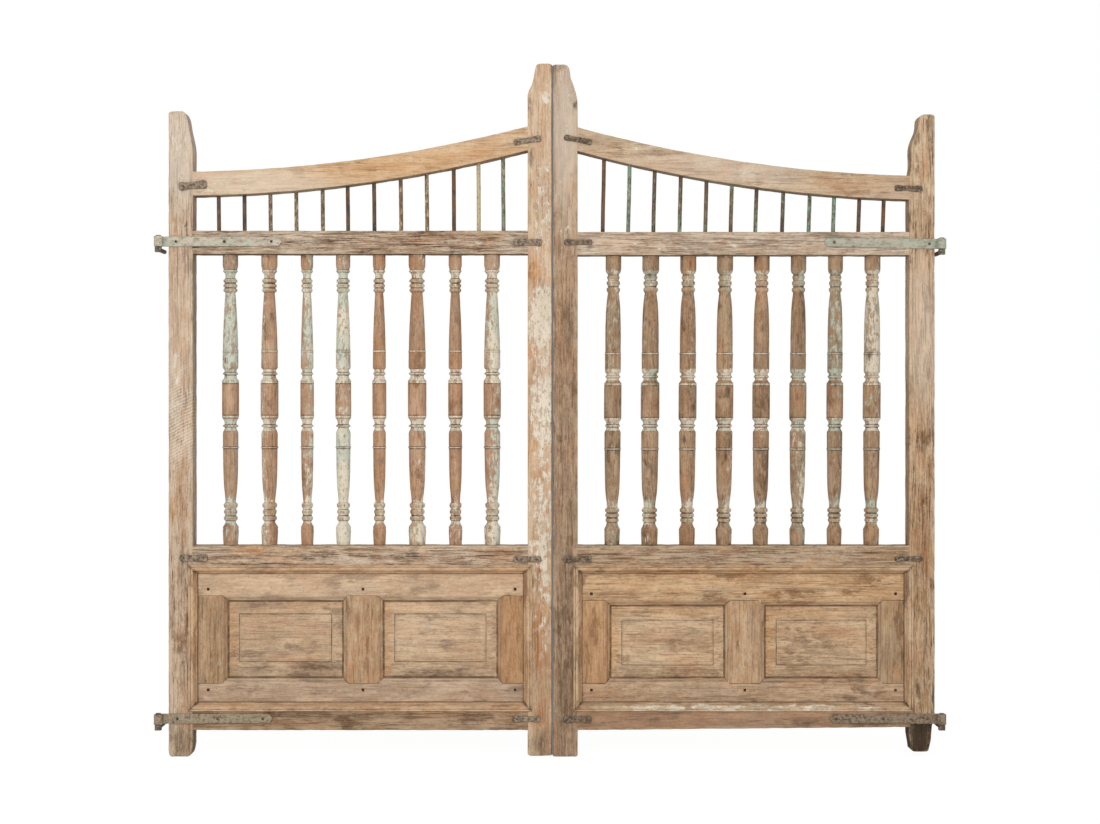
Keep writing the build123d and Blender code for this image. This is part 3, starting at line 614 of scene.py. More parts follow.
def timber(name, along, stations, limitsAt, depth, shape):
    # along is 0 for a rail and 2 for a stile; limitsAt gives the two edges at a station
    across = 2 if along == 0 else 0
    front, back = depth
    points, edges, dirt_and_shade = [], [], []
    ends = {0: 1.0, 1: 0.35, len(stations) - 2: 0.35, len(stations) - 1: 1.0}
    lowPlaned, highPlaned = shape.get("planed", (0.0, 0.0))
    for i, station in enumerate(stations):
        low, high = limitsAt(station)
        inset = ends.get(i, 0.0) * shape["endInset"]
        ring, edge, sideShading = sectionRing(
            low + inset, high - inset, front + inset, back - inset, shape["corner"],
            shape["faceCuts"], shape["sideCuts"], shape.get("sideShade", (0.0, 0.0)))
        for u, v in ring:
            place = [0.0, v, 0.0]
            depthShare, widthShare = (v - front) / (back - front), (u - low) / (high - low)
            moved = u + depthShare * (lowPlaned * (1 - widthShare) - highPlaned * widthShare)
            place[along], place[across] = station, moved
            points.append(place)
        edges += [1.0] * len(ring) if i in ends else edge
        dirt_and_shade += sideShading
    piece = meshObject(name, points, ringFaces(len(points) // len(stations), len(points)))
    # no wear near the side where the two leaves meet
    calm = [abs(place[across] - shape.get("calmSide", math.inf)) < calmWidth for place in points]
    setAttribute(piece, "edge", [0.0 if still else value for still, value in zip(calm, edges)])
    setAttribute(piece, "dirt_and_shade", dirt_and_shade)
    squareUp(piece)
    wornInwards(piece, shape, shape["seed"])
    for vert, place, still in zip(piece.data.vertices, points, calm):
        if still:
            vert.co[across] = place[across]
    piece.data.shade_smooth()
    return piece


def stationsBetween(low, high, step, endRound):
    count = max(2, round((high - low - 2 * endRound) / step))
    inner = [low + endRound + (high - low - 2 * endRound) * i / count for i in range(count + 1)]
    return [low, low + 0.3 * endRound] + inner + [high - 0.3 * endRound, high]


# sideShade is the painted shade on the low and the high side face: a stile's two sides, a rail's underside
# and top
stileShape = {"corner": 0.0024, "endInset": 0.0035, "wave": 0.0005, "rough": 0.0003, "chip": 0.0013,
              "faceCuts": 7, "sideCuts": 4, "step": 0.0065, "endRound": 0.005, "sideShade": (0.42, 0.42)}
railShape = {"corner": 0.0019, "endInset": 0.0016, "wave": 0.0005, "rough": 0.0003, "chip": 0.0012,
             "faceCuts": 6, "sideCuts": 4, "step": 0.0065, "endRound": 0.002, "intoStile": 0.003,
             "sideShade": (0.62, 0.1)}
# the two meeting stiles stand 0.9 mm apart in the CAD; each is made this much wider there, as if by grime,
# and its face towards the other leaf gets painted shade
meetingEdge = {"grime": 0.00035, "planed": 0.0026, "dirt_and_shade": 1.0}
calmWidth = 0.004


def stile(side, which, seed):
    node = f"{side}_{which}_stile"
    edges = cadEdges(node)
    low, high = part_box(node)
    shape = dict(stileShape, seed=seed)
    nudge = 1e-4
    grime = [0.0, 0.0]
    if which == "meeting":
        isLeft = side == "left"
        planed, sideShading = meetingEdge["planed"], meetingEdge["dirt_and_shade"]
        shape["planed"] = (0.0, planed) if isLeft else (planed, 0.0)
        shape["sideShade"] = (0.42, sideShading) if isLeft else (sideShading, 0.42)
        shape["calmSide"] = high.x if isLeft else low.x
        grime[1 if isLeft else 0] = meetingEdge["grime"]

    def limitsAt(z):
        left, right = sliceLimits(edges, 2, min(max(z, low.z + nudge), high.z - nudge), 0)
        return left - grime[0], right + grime[1]

    stations = stationsBetween(low.z, high.z, shape["step"], shape["endRound"])
    return timber(f"{node}_worn", 2, stations, limitsAt, (low.y, high.y), shape)


def rail(side, which, seed):
    node = f"{side}_{which}_rail"
    edges = cadEdges(node)
    low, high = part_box(node)
    shape = dict(railShape, seed=seed)
    stiles = [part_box(f"{side}_{name}_stile") for name in ("hinge", "meeting")]
    stiles.sort(key=lambda box: box[0].x)
    start, end = stiles[0][1].x, stiles[1][0].x
    nudge = 5e-4

    def limitsAt(x):
        return sliceLimits(edges, 0, min(max(x, start + nudge), end - nudge), 2)

    stations = stationsBetween(
        start - shape["intoStile"], end + shape["intoStile"], shape["step"], shape["endRound"])
    return timber(f"{node}_worn", 0, stations, limitsAt, (low.y, high.y), shape)


# painted shade of the gap where the two leaves meet: a dark line drawn on both meeting stiles as one side of
# a large rectangle
splitX = 0.006
leafGapShade = (((-3.0, -1.0), (splitX, 3.0), 0.0, 0.0030, 2.2),)

# Each timber: its grain colours, how figured and cracked it is, and where paint, dirt with some painted
# shadow, and warmth show
timbers = {
    "left_meeting_stile": {
        "lines": leafGapShade, "lineColor": "#33271d",
        "tones": ("#dcc6aa", "#c9a684", "#96694a"), "figure": 0.25, "cracks": 0.35,
        "coat": ("#e6d9c5", "#dccdb8"), "seed": 1, "dirtShadeColor": "#2f231a", "streaks": 0.6, "fineness": 1.25,
        "paint": (0.26, {
            "upper face": (543, 215, 9, 60, 0.42),
            "large patch": (541, 320, 14, 34, 0.66),
            "cream run": (543, 405, 12, 50, 0.58),
            "cream patch at the top": (546, 98, 4, 6, 0.85),
            "bare top": (538, 78, 12, 12, 0.05),
            "lower face": (541, 520, 13, 60, 0.50),
            "beside the panels": (545, 600, 6, 60, 0.42),
            "bare foot": (540, 715, 14, 50, 0.10),
        }),
        "tone": (0.5, {"top": (540, 110, 14, 60, 0.56), "beside the panels": (540, 650, 14, 100, 0.22)}),
        "dirt_and_shade": (0.0, {
            "knot": (528.5, 104, 3, 9, 0.6),
            "drips below the arch": (531, 158, 3, 12, 0.7),
            "foot": (540, 745, 14, 18, 0.5),
            "foot rail": (532, 650, 5, 60, 0.25),
        }),
        "warmth": (0.15, {
            "orange face": (534, 272, 8, 14, 0.9),
            "second orange patch": (533, 352, 8, 12, 0.9),
            "lower face": (534, 480, 8, 60, 0.6),
            "orange above the panels": (545, 585, 7, 50, 0.85),
            "orange beside the panels": (539, 640, 8, 30, 0.8),
            "top": (538, 85, 12, 20, 0.0),
            "foot": (540, 715, 14, 30, 0.25),
        }),
    },
    "right_meeting_stile": {
        "lines": leafGapShade, "lineColor": "#33271d",
        "tones": ("#c6ac91", "#a0836a", "#70553f"), "figure": 0.25, "cracks": 0.5,
        "coat": ("#d9ccb6", "#cdc3ad"), "seed": 2, "dirtShadeColor": "#35281c", "streaks": 0.7,
        "paint": (0.12, {"pale top": (566, 100, 12, 40, 0.36), "upper part": (566, 200, 12, 60, 0.3)}),
        "tone": (0.37, {"bleached top": (566, 135, 16, 85, 0.8), "foot": (566, 650, 14, 90, 0.3)}),
        "dirt_and_shade": (0.05, {
            "brown below the middle": (565, 440, 14, 150, 0.24),
            "foot": (565, 660, 14, 110, 0.36),
            "top corner": (557, 68, 5, 5, 0.5),
            "notch": (576, 105, 3, 5, 0.8),
        }),
        "warmth": (0.1, {"knot": (574, 190, 5, 20, 0.5), "pink": (560, 320, 6, 60, 0.3)}),
    },
    "left_hinge_stile": {
        "tones": ("#dcc8b1", "#bc9e81", "#6f5139"), "figure": 0.35, "cracks": 0.9,
        "coat": ("#e5d8c6", "#d6c7b1"), "seed": 3, "streaks": 0.75,
        "paint": (0.2, {"top": (180, 150, 12, 40, 0.38), "grey band": (175, 400, 6, 50, 0.46)}),
        "dirt_and_shade": (0.0, {
            "grey streaks": (184, 560, 8, 30, 0.3), "foot": (181, 740, 14, 20, 0.46),
            "below the lock rail": (181, 640, 12, 60, 0.16),
            "edge": (191, 300, 2, 120, 0.2),
        }),
        "warmth": (0.1, {
            "pink": (182, 340, 8, 50, 0.45), "orange left edge": (172, 510, 4, 16, 0.9),
            "lower": (183, 660, 12, 60, 0.25),
        }),
        "tone": (0.5, {
            "bleached top": (181, 150, 16, 55, 0.84), "upper face": (181, 330, 14, 90, 0.66),
            "lower face": (181, 610, 14, 120, 0.36),
        }),
        "sawn": (0.0, {"saw marks": (182, 420, 16, 50, 1.0)}),
    },
    "right_hinge_stile": {
        "tones": ("#d9c0a1", "#b39270", "#5f4229"), "figure": 0.4, "cracks": 1.0,
        "coat": ("#d9c9af", "#cbbda3"), "seed": 4, "dirtShadeColor": "#281d14", "streaks": 0.85,
        "paint": (0.14, {"top": (920, 170, 8, 50, 0.3)}),
        "tone": (0.5, {"upper face": (921, 330, 14, 80, 0.74), "lower face": (921, 600, 14, 140, 0.3)}),
        "dirt_and_shade": (0.04, {
            # the dark band just below the lower strap is a painted shadow
            "black foot": (918, 743, 30, 16, 1.0), "painted shadow below the strap": (918, 727, 20, 5, 0.9),
            "top edge": (930, 130, 5, 22, 0.4), "crack at the arch": (908, 157, 3, 8, 0.7),
            "lower face": (922, 540, 12, 120, 0.2), "beside the panels": (926, 660, 5, 50, 0.3),
        }),
        "warmth": (0.12, {"golden": (922, 330, 12, 120, 0.2), "lower face": (920, 560, 12, 80, 0.25)}),
    },
    "left_arched_rail": {
        "tones": ("#dfc7a8", "#cfae88", "#9a7148"), "figure": 0.5, "cracks": 0.6,
        "coat": ("#e9dcc6", "#ddcdb2"), "seed": 5,
        "paint": (0.1, {"pale left end": (225, 185, 40, 12, 0.4)}),
        "tone": (0.52, {"bleached end": (245, 183, 90, 16, 0.8)}),
        "dirt_and_shade": (0.0, {"left end": (200, 186, 8, 12, 0.3)}),
        "warmth": (0.18, {"golden run": (440, 160, 90, 14, 0.5), "middle": (360, 172, 60, 12, 0.45)}),
    },
    "right_arched_rail": {
        "tones": ("#d3bfa5", "#bfa285", "#8a6a4c"), "figure": 0.5, "cracks": 0.6,
        "coat": ("#e9e0d0", "#d8cfbf"), "seed": 6,
        "paint": (0.16, {"pale middle": (745, 172, 60, 12, 0.26), "chalky end": (655, 150, 30, 10, 0.28)}),
        "tone": (0.54, {"bleached middle": (730, 166, 70, 16, 0.7)}),
        "dirt_and_shade": (0.02, {"meeting end": (600, 142, 24, 12, 0.2)}),
        "warmth": (0.1, {"hinge end": (850, 184, 50, 12, 0.45), "meeting end": (610, 148, 30, 14, 0.3)}),
    },
    "left_middle_rail": {
        "tones": ("#d2bfa8", "#9b816b", "#513b2a"), "figure": 0.6, "cracks": 1.0,
        "coat": ("#dccfbb", "#cdc1ac"), "seed": 7, "streaks": 1.0,
        "paint": (0.16, {"scrapes": (470, 243, 30, 8, 0.3), "left": (300, 244, 20, 8, 0.28)}),
        # the dark band just under the strap is a painted shadow
        "dirt_and_shade": (0.08, {"meeting end": (488, 240, 12, 10, 0.4), "painted shadow under the strap": (240, 251, 50, 5, 0.3)}),
        "warmth": (0.1, {"reddish": (488, 236, 10, 8, 0.5), "middle": (380, 243, 60, 10, 0.25)}),
    },
    "right_middle_rail": {
        "tones": ("#d6c4af", "#a68c75", "#57402e"), "figure": 0.6, "cracks": 1.0,
        "coat": ("#e2d6c6", "#d2c6b4"), "seed": 8, "streaks": 1.0,
        "paint": (0.2, {"pale middle": (700, 244, 60, 8, 0.3)}), "tone": (0.58, {}),
        "dirt_and_shade": (0.04, {"meeting end": (600, 238, 20, 8, 0.2)}),
        "warmth": (0.12, {"reddish": (630, 243, 40, 8, 0.45)}),
    },
    "left_lock_rail": {
        "tones": ("#d9c4ab", "#aa8c71", "#5a4231"), "figure": 0.6, "cracks": 0.8,
        "coat": ("#e0d2bd", "#d0c4af"), "seed": 9, "streaks": 0.95, "fineness": 1.5,
        "paint": (0.18, {"scrapes": (345, 560, 40, 5, 0.38), "flecks": (440, 560, 40, 5, 0.3)}),
        "dirt_and_shade": (0.04, {"grey": (360, 552, 90, 6, 0.26), "brown right end": (500, 556, 30, 8, 0.36)}),
        "warmth": (0.12, {"reddish marks": (250, 549, 16, 4, 1.0), "left": (270, 552, 50, 5, 0.5),
                          "right end": (500, 556, 30, 6, 0.6)}),
    },
    "right_lock_rail": {
        "tones": ("#c8b196", "#a0856b", "#5e4531"), "figure": 0.5, "cracks": 0.7,
        "coat": ("#d1c1aa", "#bdb29b"), "seed": 10, "streaks": 0.9, "fineness": 1.5,
        "paint": (0.18, {"flecks": (840, 556, 30, 6, 0.3)}),
        "dirt_and_shade": (0.05, {"green grey": (780, 555, 70, 7, 0.3)}),
        "warmth": (0.12, {"hinge end": (885, 555, 24, 8, 0.4), "meeting end": (620, 556, 40, 8, 0.3)}),
    },
    "left_bottom_rail": {
        "tones": ("#b89f83", "#967a60", "#644a35"), "figure": 0.4, "cracks": 0.6,
        "coat": ("#d6c8b2", "#c0b69f"), "seed": 11,
        "streaks": 0.75, "paint": (0.14, {"right": (480, 724, 30, 5, 0.24)}),
        "dirt_and_shade": (0.08, {"dark run": (360, 715, 60, 4, 0.5)}),
        "warmth": (0.2, {"left": (300, 724, 50, 5, 0.35)}),
    },
    "right_bottom_rail": {
        "tones": ("#b08f70", "#946f53", "#60442f"), "figure": 0.4, "cracks": 0.6,
        "coat": ("#cdbba2", "#b8ac92"), "seed": 12,
        "paint": (0.06, {}), "tone": (0.57, {}),
        # the hinge end patch is a painted shadow below the lower strap; the green grey one is a stain
        "dirt_and_shade": (0.06, {"green grey": (805, 722, 16, 7, 0.5), "hinge end": (870, 726, 40, 5, 0.6)}),
        "warmth": (0.35, {}),
    },
}

for node, look in timbers.items():
    side, which, kind = node.split("_")
    piece = stile(side, which, look["seed"]) if kind == "stile" else rail(side, which, look["seed"])
    applyMaps(piece, look)
    material = woodMaterial(f"{node} timber", "Z" if kind == "stile" else "X", look)
    finish(piece, material, f"{side}_leaf", kind, node)
print("frame timbers done")


# Joinery of the panelled foot: softened copies of the CAD pieces

joinery = {"bevel": 0.0013, "step": 0.012, "wave": 0.0005, "rough": 0.0003, "chip": 0.0014}


def softenedCopy(node, name, shape, seed):
    mesh = bmesh.new()
    mesh.from_mesh(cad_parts[node].data)
    bmesh.ops.remove_doubles(mesh, verts=mesh.verts[:], dist=1e-5)
    bmesh.ops.dissolve_limit(mesh, angle_limit=math.radians(0.5), verts=mesh.verts[:], edges=mesh.edges[:])
    sharp = [e for e in mesh.edges if len(e.link_faces) == 2 and e.calc_face_angle(0.0) > math.radians(20)]
    bmesh.ops.bevel(mesh, geom=sharp, offset=shape["bevel"], segments=2, profile=0.6, affect="EDGES",
                    clamp_overlap=True)
    low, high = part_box(node)
    for axis in (0, 2):
        count = int((high[axis] - low[axis]) / shape["step"])
        for i in range(1, count):
            place, normal = [0.0] * 3, [0.0] * 3
            place[axis] = low[axis] + (high[axis] - low[axis]) * i / count
            normal[axis] = 1.0
            bmesh.ops.bisect_plane(
                mesh, geom=mesh.verts[:] + mesh.edges[:] + mesh.faces[:], plane_co=place, plane_no=normal,
                dist=1e-6)
    bmesh.ops.triangulate(mesh, faces=[f for f in mesh.faces if len(f.verts) > 4])
    data = bpy.data.meshes.new(name)
    mesh.to_mesh(data)
    mesh.free()
    piece = newObject(name, data)
    edgeFromAngles(piece)
    wornInwards(piece, shape, seed)
    data.shade_smooth()
    data.set_sharp_from_angle(angle=math.radians(50))
    return piece


panelTongue = 0.009


def panelRectangles(node):
    # the opening that shows a panel, and the raised field in it, each as two corners in X and Z
    low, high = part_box(node)
    opening = ((low.x + panelTongue, low.z + panelTongue), (high.x - panelTongue, high.z - panelTongue))
    points = np.array([v.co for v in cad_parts[node].data.vertices], float)
    raised = points[points[:, 1] < low.y + 1e-4]
    field = ((raised[:, 0].min(), raised[:, 2].min()), (raised[:, 0].max(), raised[:, 2].max()))
    return opening, field


# painted shade lines at the edges of the sticking, the opening and the raised field; each line: how far
# outside its rectangle, how wide, how strong
stickingShadeLines = ((0.0006, 0.0030, 0.8), (0.0080, 0.0018, 0.5))
openingShadeLine = (-0.0012, 0.0034, 0.95)
fieldShadeLines = ((0.0, 0.0024, 0.85), (-0.0050, 0.0012, 0.25))


def bevelShading(piece, field):
    # painted light and shade on the bevels round a raised field: darker below and at the right, warmer at the
    # left and above
    (lowX, lowZ), (highX, highZ) = field
    points = meshPoints(piece)
    reach = 0.008
    below, above = [np.clip(gap / reach, 0, 1) for gap in (lowZ - points[:, 2], points[:, 2] - highZ)]
    before, after = [np.clip(gap / reach, 0, 1) for gap in (lowX - points[:, 0], points[:, 0] - highX)]
    setAttribute(piece, "dirt_and_shade", np.maximum(0.36 * below, 0.2 * after))
    setAttribute(piece, "warmth", np.maximum(0.6 * before, 0.35 * above))


# how bleached the left and the right leaf's rails and panels are
joineryTones = {
    "left": {
        "panel_top_rail": 0.64, "panel_bottom_rail": 0.6,
        "panel_meeting_side": 0.6, "panel_hinge_side": 0.59,
    },
    "right": {
        "panel_top_rail": 0.43, "panel_bottom_rail": 0.52,
        "panel_meeting_side": 0.55, "panel_hinge_side": 0.54,
    },
}
joineryLooks = {
    "panel_top_rail": {"grain": "X", "tones": ("#dfc19c", "#c5a079", "#7c5838"), "paint": (0.12, {}),
                       "warmth": (0.18, {}), "dirt_and_shade": (0.05, {})},
    "panel_bottom_rail": {"grain": "X", "tones": ("#cdb093", "#af8e6e", "#654931"), "paint": (0.1, {}),
                          "warmth": (0.12, {}), "dirt_and_shade": (0.14, {})},
    "meeting_muntin": {"grain": "Z", "tones": ("#c8a47e", "#b68f6a", "#835f42"), "paint": (0.1, {}),
                       "warmth": (0.25, {}), "dirt_and_shade": (0.06, {})},
    "centre_muntin": {"grain": "Z", "tones": ("#cbad8b", "#b59270", "#7f5e42"), "paint": (0.22, {}),
                      "warmth": (0.12, {}), "dirt_and_shade": (0.08, {})},
    "hinge_muntin": {"grain": "Z", "tones": ("#c2a483", "#a88866", "#765840"), "paint": (0.16, {}),
                     "warmth": (0.12, {}), "dirt_and_shade": (0.1, {})},
    "panel_meeting_side": {
        "grain": "X", "tones": ("#dabd99", "#bc9a75", "#704f36"), "warmth": (0.14, {}),
        "paint": (0.12, {"pale fleck": (428, 624, 9, 4, 0.42), "pale field": (420, 643, 30, 8, 0.26)}),
        "dirt_and_shade": (0.03, {"brown stain": (690, 640, 22, 14, 0.34), "below the field": (440, 676, 40, 5, 0.3)}),
    },
    "panel_hinge_side": {
        "grain": "X", "tones": ("#d6b894", "#b69571", "#694a33"), "warmth": (0.14, {}),
        "paint": (0.12, {"pale field": (290, 630, 26, 8, 0.24)}),
        "dirt_and_shade": (0.03, {
            "dark smudge": (315, 665, 26, 7, 0.42), "second smudge": (262, 668, 12, 5, 0.3),
            "knot": (855, 690, 10, 6, 0.3),
        }),
    },
}

for side in sides:
    for index, (which, look) in enumerate(joineryLooks.items()):
        node = f"{side}_{which}"
        piece = softenedCopy(node, f"{node}_worn", joinery, 20 + index)
        if which.endswith("side"):
            slot = "panel"
            opening, field = panelRectangles(node)
            bevelShading(piece, field)
            lines = [(*opening, *openingShadeLine)] + [(*field, *line) for line in fieldShadeLines]
        else:
            slot = "panel_frame"
            openings = [panelRectangles(f"{side}_panel_{end}_side")[0] for end in ("meeting", "hinge")]
            lines = [(*opening, *line) for opening in openings for line in stickingShadeLines]
        applyMaps(piece, dict(look, tone=(joineryTones[side].get(which, 0.5), {})))
        material = woodMaterial(f"{node} wood", look["grain"], dict(look, lines=lines), bump=0.4)
        finish(piece, material, f"{side}_leaf", slot, node)
print("panelled foot done")


# Moulding round the panelled foot: one profile swept round a rectangle, mitred at the corners

moulding = {
    # across from the outer edge, and forward of the stiles' face, both in metres
    "profile": [
        (0.0000, 0.0), (0.0002, 0.0026), (0.0012, 0.0038), (0.0030, 0.0040), (0.0044, 0.0032),
        (0.0052, 0.0016), (0.0060, 0.0014), (0.0078, 0.0030), (0.0104, 0.0034), (0.0132, 0.0024),
        (0.0160, -0.0002), (0.0182, -0.0040), (0.0196, -0.0078), (0.0206, -0.0082), (0.0216, -0.0074),
        (0.0228, -0.0078), (0.0238, -0.0096), (0.0239, -0.0119), (0.0122, -0.0119), (0.0122, 0.0001),
    ],
    "step": 0.012, "wave": 0.0003, "rough": 0.0003, "chip": 0.0012,
    "tones": {
        "left": ("#cfae8b", "#b39170", "#7d5b41"),
        "right": ("#cbae8d", "#ae8c6a", "#70533b"),
    },
    "coat": ("#e6dac6", "#d8cdb8"),
}


def sweptMoulding(side):
    node = f"{side}_panel_moulding"
    low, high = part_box(node)
    profile = moulding["profile"]
    points, faces, run, inwards, edge, dirt_and_shade = [], [], [], [], [], []
    for j in range(4):
        axis = j % 2
        count = round((high[2 * axis] - low[2 * axis]) / moulding["step"])
        first = len(points)
        for across, forward in profile:
            corners = [(low.x + across, low.z + across), (high.x - across, low.z + across),
                       (high.x - across, high.z - across), (low.x + across, high.z - across)]
            start, end = corners[j], corners[(j + 1) % 4]
            # painted shade: a dark line along the inner edge against the frame and a fainter one in the
            # groove; the dark mitred ends are joints
            inner = across > 0.0225
            groove = 0.0046 < across < 0.0065
            # the rounded bead and ovolo are marked as edge: chips, and a painted highlight in the pale edge
            # colour
            rounded = 0.0004 < across < 0.0046 or 0.007 < across < 0.0125
            for i in range(count + 1):
                x, z = [a + (b - a) * i / count for a, b in zip(start, end)]
                points.append((x, frontY - forward, z))
                run.append((x, z)[axis] + 3.7 * j)
                inwards.append(across)
                edge.append(1.0 if rounded else 0.0)
                atMitre = 0.7 if i in (0, count) else 0.0
                dirt_and_shade.append(max(0.9 if inner else 0.45 if groove else 0.0, atMitre))
        for k in range(len(profile)):
            here, other = first + k * (count + 1), first + (k + 1) % len(profile) * (count + 1)
            faces += [(here + i, here + i + 1, other + i + 1, other + i) for i in range(count)]
        for i in (0, count):
            faces.append(tuple(first + k * (count + 1) + i for k in range(len(profile))))
    piece = meshObject(f"{node}_worn", points, faces)
    squareUp(piece)
    for name, values in {"edge": edge, "dirt_and_shade": dirt_and_shade, "run": run, "across": inwards}.items():
        setAttribute(piece, name, values)
    wornInwards(piece, moulding, 31)
    piece.data.shade_smooth()
    piece.data.set_sharp_from_angle(angle=math.radians(60))
    return piece


for side in sides:
    piece = sweptMoulding(side)
    patches = {"left": {"bottom strip": (360, 708, 170, 4, 0.22)},
               "right": {"bottom strip": (745, 708, 160, 4, 0.5)}}[side]
    patchMap(piece, "paint", 0.14, patches)
    warmth = {"left": {}, "right": {"top strip": (740, 569, 170, 6, 0.5)}}[side]
    patchMap(piece, "warmth", 0.12, warmth)
    # edgeColor here is the painted highlight on the rounded bead
    look = {"tones": moulding["tones"][side], "coat": moulding["coat"], "figure": 0.2, "cracks": 0.3,
            "edgeColor": "#dcc4a2"}
    material = woodMaterial(f"{side} moulding", "run", look, bump=0.35)
    finish(piece, material, f"{side}_leaf", "moulding", f"{side}_panel_moulding")
print("mouldings done")


# Turned balusters: a profile of straight runs with rings and grooves, turned about a leaning axis

